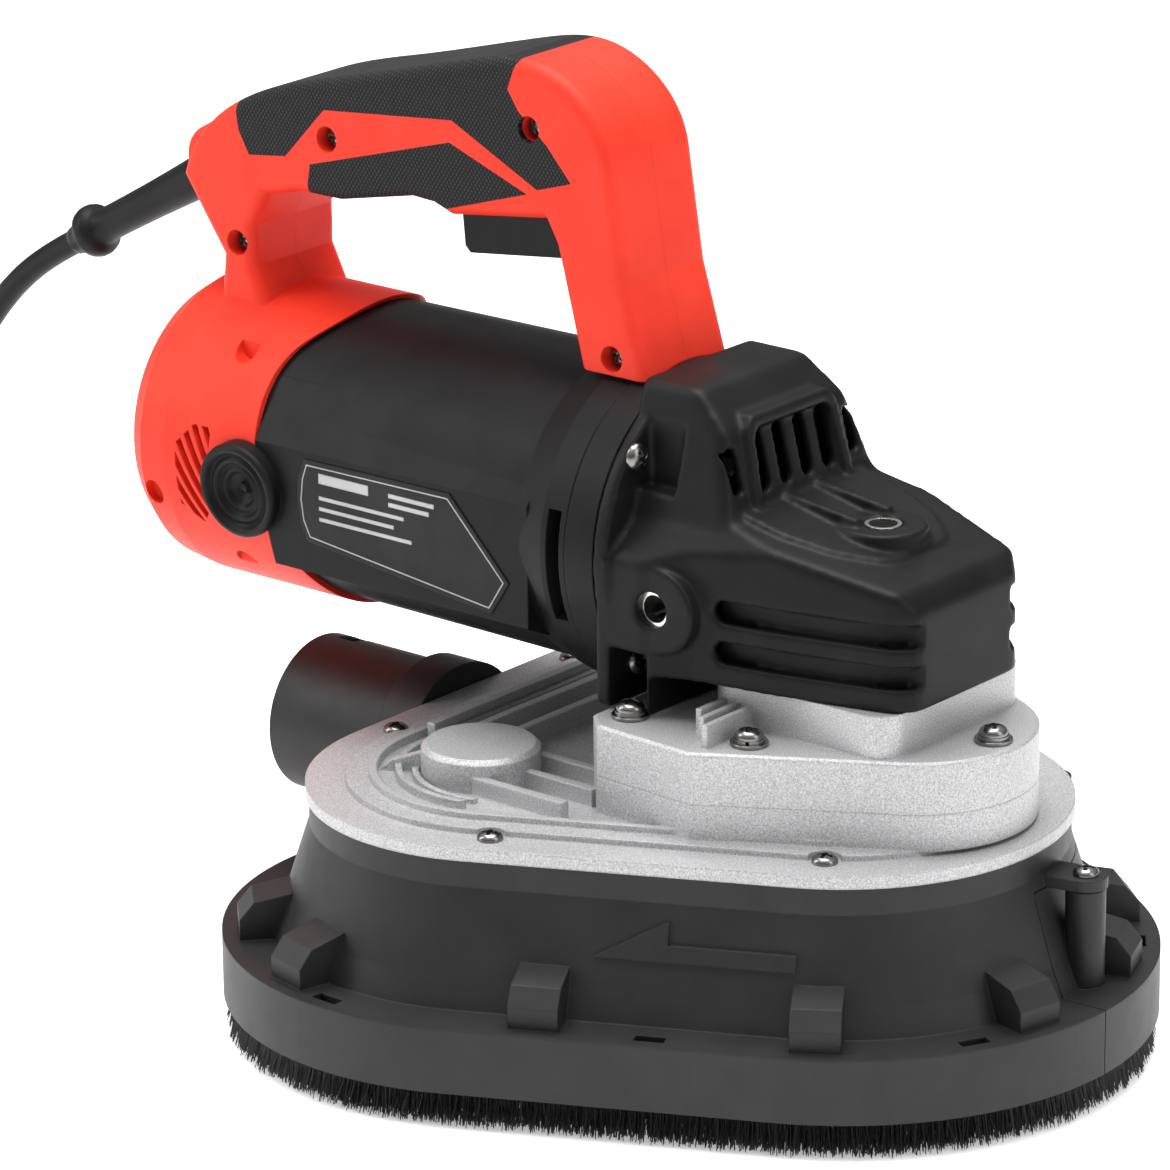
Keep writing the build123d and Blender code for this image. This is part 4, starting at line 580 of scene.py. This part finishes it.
def make_brush():
    """Dense uneven bristles all round the skirt, the front segment's on a piece of their own."""
    meshes = {True: ([], []), False: ([], [])}
    for row in range(STRAND_ROWS):
        share_out = row / (STRAND_ROWS - 1)
        grow = ROW_GROW[0] + share_out * (ROW_GROW[1] - ROW_GROW[0])
        for x, y, angle in outline_places(grow, STRAND_SPACING, (row * 0.37) % 1):
            part = on_segment(x, y, 0.35)
            if part is None:
                continue
            tuft = sin(x * 1900 + row) * sin(y * 1700 + 2 * row)
            out = random.gauss(0.0006, 0.0008) + 0.0022 * share_out * random.random()
            out = min(out, SPLAY_LIMIT, SKIRT_INSIDE - grow)
            lean = random.gauss(0.0007 * tuft, 0.0011)
            foot = max(SHORTEST_FOOT, 0.0014 + 0.0010 * tuft + random.gauss(0, 0.0010))
            radius = STRAND_R * random.uniform(0.8, 1.25)
            add_strand(*meshes[part], x, y, angle, out, lean, foot, radius)
    pieces = ((False, "bristles", "brush_strip"), (True, "segment_bristles", "segment_brush"))
    for segment, name, node in pieces:
        verts, faces = meshes[segment]
        backing(verts, faces, segment)
        mesh = bpy.data.meshes.new(name)
        mesh.from_pydata(verts, [], faces)
        add_piece(name, mesh, "machine", BRISTLE, "bristle", node)


# ---------------------------------------------------------------- solid shapes for the head cover

BLOCK_VOXEL = 0.0012
HEAD_VOXEL = 0.0009


def prism(name, outline, axis, low, high):
    """A closed block with a straight-sided outline in mm, extruded along one axis."""
    place = {
        "x": lambda a, b, c: (c, a, b),
        "y": lambda a, b, c: (a, c, b),
        "z": lambda a, b, c: (a, b, c),
    }[axis]
    count = len(outline)
    verts = [place(a, b, end) for end in (low, high) for a, b in outline]
    faces = [tuple(range(count)), tuple(range(2 * count - 1, count - 1, -1))]
    faces += [(k, k + count, (k + 1) % count + count, (k + 1) % count) for k in range(count)]
    mesh = bpy.data.meshes.new(name)
    mesh.from_pydata([tuple(MM * c for c in v) for v in verts], [], faces)
    bm = bmesh.new()
    bm.from_mesh(mesh)
    bmesh.ops.recalc_face_normals(bm, faces=bm.faces)
    bm.to_mesh(mesh)
    bm.free()
    block = bpy.data.objects.new(name, mesh)
    bpy.context.scene.collection.objects.link(block)
    return block


def round_outline(x, y, radius, count=40, start=0.0, end=tau):
    """Points on a circle or an arc of one."""
    steps = count if end - start >= tau else count + 1
    angles = [start + (end - start) * k / count for k in range(steps)]
    return [(x + radius * cos(angle), y + radius * sin(angle)) for angle in angles]


def slot_outline(x_low, x_high, y, height):
    """A slot with round ends."""
    radius = height / 2
    right = round_outline(x_high - radius, y, radius, 12, -pi / 2, pi / 2)
    left = round_outline(x_low + radius, y, radius, 12, pi / 2, 1.5 * pi)
    return right + left


def inset_outline(outline, amount):
    """The outline with every side moved inwards."""
    area = sum(a[0] * b[1] - b[0] * a[1] for a, b in zip(outline, outline[1:] + outline[:1]))
    inwards = amount if area > 0 else -amount
    lines = []
    for (ax, ay), (bx, by) in zip(outline, outline[1:] + outline[:1]):
        length = hypot(bx - ax, by - ay)
        dx, dy = (bx - ax) / length, (by - ay) / length
        lines.append((ax - dy * inwards, ay + dx * inwards, dx, dy))
    points = []
    for (px, py, pdx, pdy), (qx, qy, qdx, qdy) in zip(lines[-1:] + lines[:-1], lines):
        cross = pdx * qdy - pdy * qdx
        along = ((qx - px) * qdy - (qy - py) * qdx) / cross
        points.append((px + along * pdx, py + along * pdy))
    return points


def bake_modifier(thing):
    """Applies the one modifier on a scratch object."""
    bpy.context.view_layer.update()
    evaluated = thing.evaluated_get(bpy.context.evaluated_depsgraph_get())
    mesh = bpy.data.meshes.new_from_object(evaluated)
    thing.modifiers.clear()
    thing.data = mesh


def combine(target, tool, operation):
    """Boolean of two scratch objects; the second is used up."""
    modifier = target.modifiers.new("combine", "BOOLEAN")
    modifier.operation = operation
    modifier.solver = "EXACT"
    modifier.object = tool
    bake_modifier(target)
    bpy.data.objects.remove(tool)


def soften(thing, voxel, rounds, factor=0.5):
    """Remeshes evenly and rounds the edges by smoothing."""
    modifier = thing.modifiers.new("even", "REMESH")
    modifier.mode = "VOXEL"
    modifier.voxel_size = voxel
    bake_modifier(thing)
    modifier = thing.modifiers.new("round", "SMOOTH")
    modifier.factor = factor
    modifier.iterations = rounds
    bake_modifier(thing)


# ---------------------------------------------------------------- head cover

RING_R = 50.5
HEAD_REAR = 23
HEAD_FLANGE = 27.5
HEAD_SIDE_VIEW = [
    (10, 106), (122.5, 106), (122.5, 149), (118, 155), (62, 167), (56, 191), (43, 202), (10, 202),
]
HEAD_HALF_PLAN = [(10, 50), (38, 50), (53, 43), (80, 38.6), (117, 29.5), (122.5, 24)]
HEAD_REAR_VIEW = [
    (-49, 100), (-49, 154), (-37, 163.5), (-26, 202), (26, 202), (37, 163.5), (49, 154), (49, 100),
]
HEAD_WALL = 3
HEAD_BOTTOM = 119
INSERT_SIDE = (43, 140)
INSERT_TOP = (91.5, 0)
INSERT_HOLE_R = 5.5
SIDE_SLOT_LEVELS = (129.5, 142)
SCREW_PLACES = [(y, z) for y in (-35.5, 35.5) for z in (118, 181)]


def head_block(name, inset):
    """The rounded wedge of the head, or the hollow inside it."""
    plan = HEAD_HALF_PLAN + [(x, -y) for x, y in reversed(HEAD_HALF_PLAN)]
    views = [HEAD_SIDE_VIEW, plan, HEAD_REAR_VIEW]
    if inset:
        views = [inset_outline(view, inset) for view in views]
    block = prism(name, views[0], "y", -70, 70)
    combine(block, prism("plan", views[1], "z", 90, 210), "INTERSECT")
    combine(block, prism("rear", views[2], "x", 0, 130), "INTERSECT")
    return block


def head_features():
    """What stands on the rounded wedge: ring, plateau, boss, ribs, slot frame and side pads."""
    ring = round_outline(0, 150, RING_R, 96)
    features = [prism("ring", ring, "x", HEAD_REAR, HEAD_FLANGE + 0.5)]
    plateau = [(52, 29), (76, 29), (92, 24), (102, 16.5), (107, 8)]
    plateau += [(x, -y) for x, y in reversed(plateau)]
    top = [(52, 150), (52, 170), (63, 168.6), (90, 162.4), (105, 159), (108, 150)]
    raised = prism("plateau", top, "y", -40, 40)
    combine(raised, prism("plateau_plan", plateau, "z", 140, 175), "INTERSECT")
    features.append(raised)
    features.append(prism("boss", round_outline(*INSERT_TOP, 13.5, 48), "z", 150, 164.6))
    for y in (-7.5, 7.5):
        rib = [(55, 158), (55, 171), (66, 169.6), (88.5, 166.8), (89.5, 158)]
        features.append(prism("rib", rib, "y", y - 1.9, y + 1.9))
    # an arch on the hump's sloping face frames the four middle slots
    arch = [(-23.5, 166), (-21.5, 191), (-18, 194.8), (18, 194.8), (21.5, 191), (23.5, 166)]
    inner = [(20, 166), (18.2, 188.5), (16, 191), (-16, 191), (-18.2, 188.5), (-20, 166)]
    face = [(50, 160), (65.6, 160), (59.2, 187), (57.2, 195.2), (50, 200)]
    frame_bar = prism("frame_bar", arch + inner, "x", 40, 70)
    combine(frame_bar, prism("face", face, "y", -40, 40), "INTERSECT")
    features.append(frame_bar)
    for side in (-1, 1):
        pad = [(HEAD_REAR, 127), *round_outline(45, 140, 13, 20, -pi / 2, pi / 2), (HEAD_REAR, 153)]
        low, high = sorted((side * 36, side * 48))
        features.append(prism("pad", pad, "y", low, high))
    return features


def flange_pockets(wall):
    """Space in front of the four flange screws, or with a wall the space and its walls."""
    pockets = []
    for y, z in SCREW_PLACES:
        side = 1 if y > 0 else -1
        near, far, low, high = (28.5, 60, 171, 206) if z > 150 else (27, 60, 98, 126)
        near, low, high = near - wall, low - wall, high + (wall if z < 150 else 0)
        shape = [(side * near, low), (side * far, low), (side * far, high), (side * near, high)]
        pockets.append(prism("pocket", shape, "x", HEAD_FLANGE - 1.3 * wall, 41.2 + wall))
    return pockets


# Screens behind the side slots, from the middle of the head to its front corners, in plan.
BAFFLE_OUTER = [(59, 36.2), (84, 33.8), (101, 30), (112, 25.6), (116, 22.4), (127, 20.6)]
BAFFLE_INNER = [(127, 18.6), (115, 20.2), (111, 23.7), (100, 28.2), (84, 32), (59, 34.4)]


def head_cuts():
    """What is taken away at the end: slots, screw pockets, insert holes and the lower opening."""
    under = [(25.7, 88), (141, 88), (141, HEAD_BOTTOM)]
    under += [(41.6, HEAD_BOTTOM), (41.6, 106.3), (25.7, 106.3)]
    cuts = [prism("cover_gap", under, "y", -62, 62)] + flange_pockets(0)
    for level in SIDE_SLOT_LEVELS:
        for side in (-1, 1):
            low, high = sorted((side * 15, side * 70))
            slot = prism("side_slot", slot_outline(61, 126, level, 7), "y", low, high)
            outside = [(x, side * y) for x, y in (*BAFFLE_OUTER, (127, 70), (59, 70))]
            combine(slot, prism("outside", outside, "z", 120, 160), "INTERSECT")
            cuts.append(slot)
    for y in (-15.2, -5.1, 5.1, 15.2):
        upright = [(b, a) for a, b in slot_outline(171.5, 190, y, 5.4)]
        cuts.append(prism("front_slot", upright, "x", 46, 80))
    for y in (-27.6, 27.6):
        upright = [(b, a) for a, b in slot_outline(173, 187, y, 4.6)]
        cuts.append(prism("flank_slot", upright, "x", 46, 80))
    for x, y, low, high in ((*INSERT_SIDE, -60, -34), (*INSERT_SIDE, 34, 60)):
        cuts.append(prism("side_insert", round_outline(x, y, INSERT_HOLE_R), "y", low, high))
    cuts.append(prism("top_insert", round_outline(*INSERT_TOP, INSERT_HOLE_R), "z", 152.4, 180))
    for y, z in SCREW_PLACES:
        cuts.append(prism("screw_hole", round_outline(y, z, 2.1, 16), "x", 20, 30))
    return cuts


def head_hollow():
    """The space inside, with walls left round the screw pockets, insert bosses and baffles."""
    hollow = head_block("hollow", HEAD_WALL)
    for pocket in flange_pockets(2.4):
        combine(hollow, pocket, "DIFFERENCE")
    for side in (-1, 1):
        low, high = sorted((side * 33.7, side * 61))
        boss = prism("insert_boss", round_outline(*INSERT_SIDE, 9), "y", low, high)
        combine(hollow, boss, "DIFFERENCE")
        screen = [(x, side * y) for x, y in BAFFLE_OUTER + BAFFLE_INNER]
        combine(hollow, prism("baffle", screen, "z", 119.3, 200), "DIFFERENCE")
    boss = prism("top_boss", round_outline(*INSERT_TOP, 8.5), "z", 150.7, 171)
    combine(hollow, boss, "DIFFERENCE")
    return hollow


def make_head():
    """The head cover: a rounded wedge with moulded features, hollow inside."""
    head = head_block("head_cover_shell", 0)
    soften(head, BLOCK_VOXEL, 26)
    behind = prism("behind", [(-20, 90), (HEAD_REAR, 90), (HEAD_REAR, 210), (-20, 210)], "y", -70, 70)
    combine(head, behind, "DIFFERENCE")
    for feature in head_features():
        combine(head, feature, "UNION")
    for cut in head_cuts():
        combine(head, cut, "DIFFERENCE")
    combine(head, head_hollow(), "DIFFERENCE")
    soften(head, HEAD_VOXEL, 3, 0.4)
    shade_smooth(head.data)
    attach(head, "machine")
    head.data.materials.clear()
    head.data.materials.append(BLACK)
    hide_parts("head_cover")


def shade_smooth(mesh):
    """Smooth shading on every face."""
    mesh.polygons.foreach_set("use_smooth", [True] * len(mesh.polygons))


# ---------------------------------------------------------------- turned pieces and screws


def lathe(name, profile, steps=48):
    """A mesh turned about Z from (radius, height) points in mm; a radius of 0 closes an end."""
    verts, faces = [], []
    rings = []
    for radius, height in profile:
        if radius == 0:
            rings.append([len(verts)])
            verts.append((0, 0, MM * height))
            continue
        rings.append(list(range(len(verts), len(verts) + steps)))
        verts += [
            (MM * radius * cos(tau * k / steps), MM * radius * sin(tau * k / steps), MM * height)
            for k in range(steps)
        ]
    for low, high in zip(rings, rings[1:]):
        for k in range(steps):
            a, b = low[k % len(low)], low[(k + 1) % len(low)]
            c, d = high[(k + 1) % len(high)], high[k % len(high)]
            faces.append(tuple(dict.fromkeys((a, b, c, d))))
    mesh = bpy.data.meshes.new(name)
    mesh.from_pydata(verts, [], faces)
    bm = bmesh.new()
    bm.from_mesh(mesh)
    bmesh.ops.recalc_face_normals(bm, faces=bm.faces)
    bm.to_mesh(mesh)
    bm.free()
    return mesh


def facing(origin, direction, roll=0.0):
    """The transform that takes Z to `direction` at `origin` (metres)."""
    turn = Vector(direction).to_track_quat("Z", "Y").to_matrix().to_4x4()
    return Matrix.Translation(origin) @ turn @ Matrix.Rotation(roll, 4, "Z")


def joined(name, parts):
    """One mesh made of (mesh, transform) pairs."""
    bm = bmesh.new()
    for mesh, transform in parts:
        placed = mesh.copy()
        placed.transform(transform)
        bm.from_mesh(placed)
        bpy.data.meshes.remove(placed)
    mesh = bpy.data.meshes.new(name)
    bm.to_mesh(mesh)
    bm.free()
    return mesh


def screw_head(radius, height):
    """A domed pan head with a crossed recess, standing on Z = 0."""
    dome = [(0, 0), (radius, 0), (radius, 0.22 * height)]
    for k in range(1, 7):
        angle = (pi / 2) * k / 6
        dome.append((radius * cos(angle) if k < 6 else 0, height * (0.22 + 0.78 * sin(angle))))
    head = bpy.data.objects.new("screw_head", lathe("screw_head", dome, 40))
    bpy.context.scene.collection.objects.link(head)
    half, width = 0.62 * radius, 0.15 * radius
    # one corner is drawn in a little, so that the two bars share no whole face
    for a, b in ((half, width), (width, half)):
        bar = prism("bar", [(-a, -b), (a, -b), (0.999 * a, b), (-a, b)], "z", 0.4 * height, 2 * height)
        combine(head, bar, "DIFFERENCE")
    mesh = head.data
    bpy.data.objects.remove(head)
    shade_by_angle(mesh)
    return mesh


def shade_by_angle(mesh, limit=radians(38)):
    """Smooth shading with the sharp edges kept."""
    bm = bmesh.new()
    bm.from_mesh(mesh)
    for face in bm.faces:
        face.smooth = True
    for edge in bm.edges:
        sharp = len(edge.link_faces) != 2 or edge.calc_face_angle(pi) > limit
        edge.smooth = not sharp
    bm.to_mesh(mesh)
    bm.free()


def split_washer(radius, hole, height):
    """A spring lock washer: a flat ring with a gap."""
    outer = round_outline(0, 0, radius, 40, 0.12, tau - 0.12)
    inner = round_outline(0, 0, hole, 40, 0.12, tau - 0.12)
    block = prism("lock_washer", outer + inner[::-1], "z", 0, height)
    mesh = block.data
    bpy.data.objects.remove(block)
    return mesh


PLATE_SCREWS = [(x, side * y) for x, y in ((20, 94.5), (108, 49), (-62, 42)) for side in (-1, 1)]
COVER_SCREWS = [(36, -49), (36, 49), (78, -46), (78, 46), (132, 0)]
HANDLE_SCREWS = [(-105, 252), (-25, 268), (-143, 213), (6, 203)]
SEGMENT_SCREW_PLACES = [(11.5, 80), (74, 80)]
PLATE_SEAT = 77.4
COVER_SEAT = 106
SEGMENT_SEAT = 65
HANDLE_SEAT_Y = -14.6


def add_screws(name, parts, node):
    """One piece made of a set of screws, in place of the CAD's set."""
    add_piece(name, joined(name, parts), "machine", SCREW, "screw_steel", node)


def shank(radius, low, high):
    """The plain part of a screw."""
    return lathe("shank", [(0, low), (radius, low), (radius, high), (0, high)], 20)


def make_screws():
    """Domed screws in place of the plain CAD ones, with washers under the cover's five."""
    up = (0, 0, 1)
    small = screw_head(3.9, 2.6)
    parts = []
    for k, (x, y) in enumerate(PLATE_SCREWS):
        place = facing((MM * x, MM * y, MM * PLATE_SEAT), up, 0.4 + 0.7 * k)
        parts += [(small, place), (shank(2, -4, 0.2), place)]
    add_screws("plate_screw_set", parts, "plate_screws")
    ring = [(2.1, 0), (5.5, 0), (5.7, 0.25), (5.7, 1.0), (5.5, 1.2), (2.1, 1.2), (2.1, 0)]
    washer = lathe("washer", ring)
    lock = split_washer(4.7, 2.2, 1.0)
    large = screw_head(4.3, 3.0)
    parts = []
    for k, (x, y) in enumerate(COVER_SCREWS):
        roll = 0.9 * k + 0.3
        base = facing((MM * x, MM * y, MM * COVER_SEAT), up, roll)
        parts += [(washer, base), (lock, base @ Matrix.Translation((0, 0, 0.0012)))]
        parts += [(large, base @ Matrix.Translation((0, 0, 0.0022))), (shank(2, -22, 2.4), base)]
    add_screws("cover_screw_set", parts, "cover_screws")
    parts = []
    for k, (y, z) in enumerate(SCREW_PLACES):
        place = facing((MM * HEAD_FLANGE, MM * y, MM * z), (1, 0, 0), 0.5 * k)
        parts += [(large, place), (shank(2, -16, 0.2), place)]
    add_screws("head_screw_set", parts, "head_screws")
    parts = []
    for k, (x, z) in enumerate(HANDLE_SCREWS):
        place = facing((MM * x, MM * HANDLE_SEAT_Y, MM * z), (0, -1, 0), 0.4 * k)
        parts += [(screw_head(3.6, 2.4), place), (shank(3.3, -2.6, 0.2), place)]
        parts += [(shank(1.8, -22, -2.4), place)]
    add_screws("handle_screw_set", parts, "handle_screws")
    parts = []
    for angle, reach in SEGMENT_SCREW_PLACES:
        x = FRONT_CORNER[0] + MM * reach * cos(radians(angle))
        y = MM * reach * sin(radians(angle))
        place = facing((x, y, MM * SEGMENT_SEAT), up, angle)
        parts += [(small, place), (shank(2, -22, 0.2), place)]
    add_screws("segment_screw_set", parts, "segment_screws")


BRUSH_AXIS_X = -0.117
BRUSH_TILT = radians(-5)
CAP_TURNING = [
    (0, 42), (10.9, 42), (10.9, 49), (13.4, 49.7), (14.9, 49.2), (15.2, 50.4), (14.9, 51.6),
    (14.1, 52.3), (13, 52.3), (12.2, 51.6), (11.8, 50.6), (11.1, 50.2), (10.5, 50.7),
    (9.7, 51.2), (8.9, 50.9), (8.5, 50.0), (7.9, 49.5),
    (7.1, 49.7), (6.5, 50.1), (5.8, 49.8), (5.3, 48.8), (4.6, 48.2), (3.2, 48.0), (2.6, 47.2), (0, 47.0),
]


def make_brush_caps():
    """Round lipped caps over the carbon brushes, with rings and a small raised driver square."""
    cap = lathe("brush_cap", CAP_TURNING, 64)
    slot = lathe("slot", [(0, 46.9), (1.9, 46.9), (1.9, 47.9), (1.4, 48.3), (0, 48.3)], 4)
    parts = []
    for side in (-1, 1):
        out = (0, side * cos(BRUSH_TILT), sin(BRUSH_TILT))
        place = facing((BRUSH_AXIS_X, 0, MOTOR_Z), out, 0.6)
        parts += [(cap, place), (slot, place)]
    mesh = joined("brush_cap_pair", parts)
    shade_by_angle(mesh, radians(50))
    add_piece("brush_cap_pair", mesh, "machine", BLACK, "cap_plastic", "brush_caps")


RELIEF_TURNING = [
    (0, -4), (7.6, -4), (8.4, -3), (8.6, -1.5), (8.3, 0.5), (7.2, 2.5), (6.9, 6), (6.6, 14),
    (6.2, 24), (5.9, 34), (5.7, 44), (5.6, 54), (5.7, 59.5), (6.6, 60.8), (8.1, 61.8),
    (8.6, 63.4), (8.6, 65.2), (8.1, 66.8), (6.4, 68),
    (5.4, 69.4), (5.0, 72), (4.6, 74), (4.05, 74.2), (4.05, 60),
]


def make_relief():
    """The tapered sleeve at the cord's exit, with its thick ring near the end."""
    mesh = lathe("cord_sleeve", RELIEF_TURNING, 48)
    mesh.transform(facing(CORD_EXIT, (-cos(CORD_SLOPE), 0, -sin(CORD_SLOPE))))
    shade_by_angle(mesh, radians(60))
    add_piece("cord_sleeve", mesh, "machine", SHEATH, "cord_sheath", "strain_relief")


LABEL_EDGE = [
    (-92, 160), (-34, 160.5), (-11, 137), (-18, 126), (-91, 134), (-94, 140), (-95, 147), (-94.2, 154),
]
LABEL_FACE_Y = -48.1


def make_label_print():
    """A thin pale border and a few plain bars on the label plate."""
    outer = inset_outline(LABEL_EDGE, 1.5)
    inner = inset_outline(LABEL_EDGE, 1.9)
    low, high = LABEL_FACE_Y - 0.08, LABEL_FACE_Y + 0.02
    border = prism("label_border", outer, "y", low, high)
    combine(border, prism("inside", inner, "y", low - 1, high + 1), "DIFFERENCE")
    bars = [(-86, -66, 153.4, 156.6), (-58, -40, 154.4, 155.8), (-58, -42, 151.6, 153.0)]
    bars += [(-86, -52, 148.2, 149.4), (-86, -56, 144.8, 146.0), (-86, -49, 141.4, 142.6)]
    for x_low, x_high, z_low, z_high in bars:
        shape = [(x_low, z_low), (x_high, z_low), (x_high, z_high), (x_low, z_high)]
        combine(border, prism("bar", shape, "y", low, high), "UNION")
    mesh = border.data
    bpy.data.objects.remove(border)
    mesh.materials.clear()
    add_piece("label_print", mesh, "machine", PRINT, "label")


# ---------------------------------------------------------------- the scene


def main():
    """Builds the camera, the studio and every piece, in the order the random draws need."""
    make_camera()
    make_studio()
    make_floor()
    dress_nodes()
    make_relief()
    make_cord()
    make_brush()
    make_head()
    make_screws()
    make_brush_caps()
    make_label_print()


main()
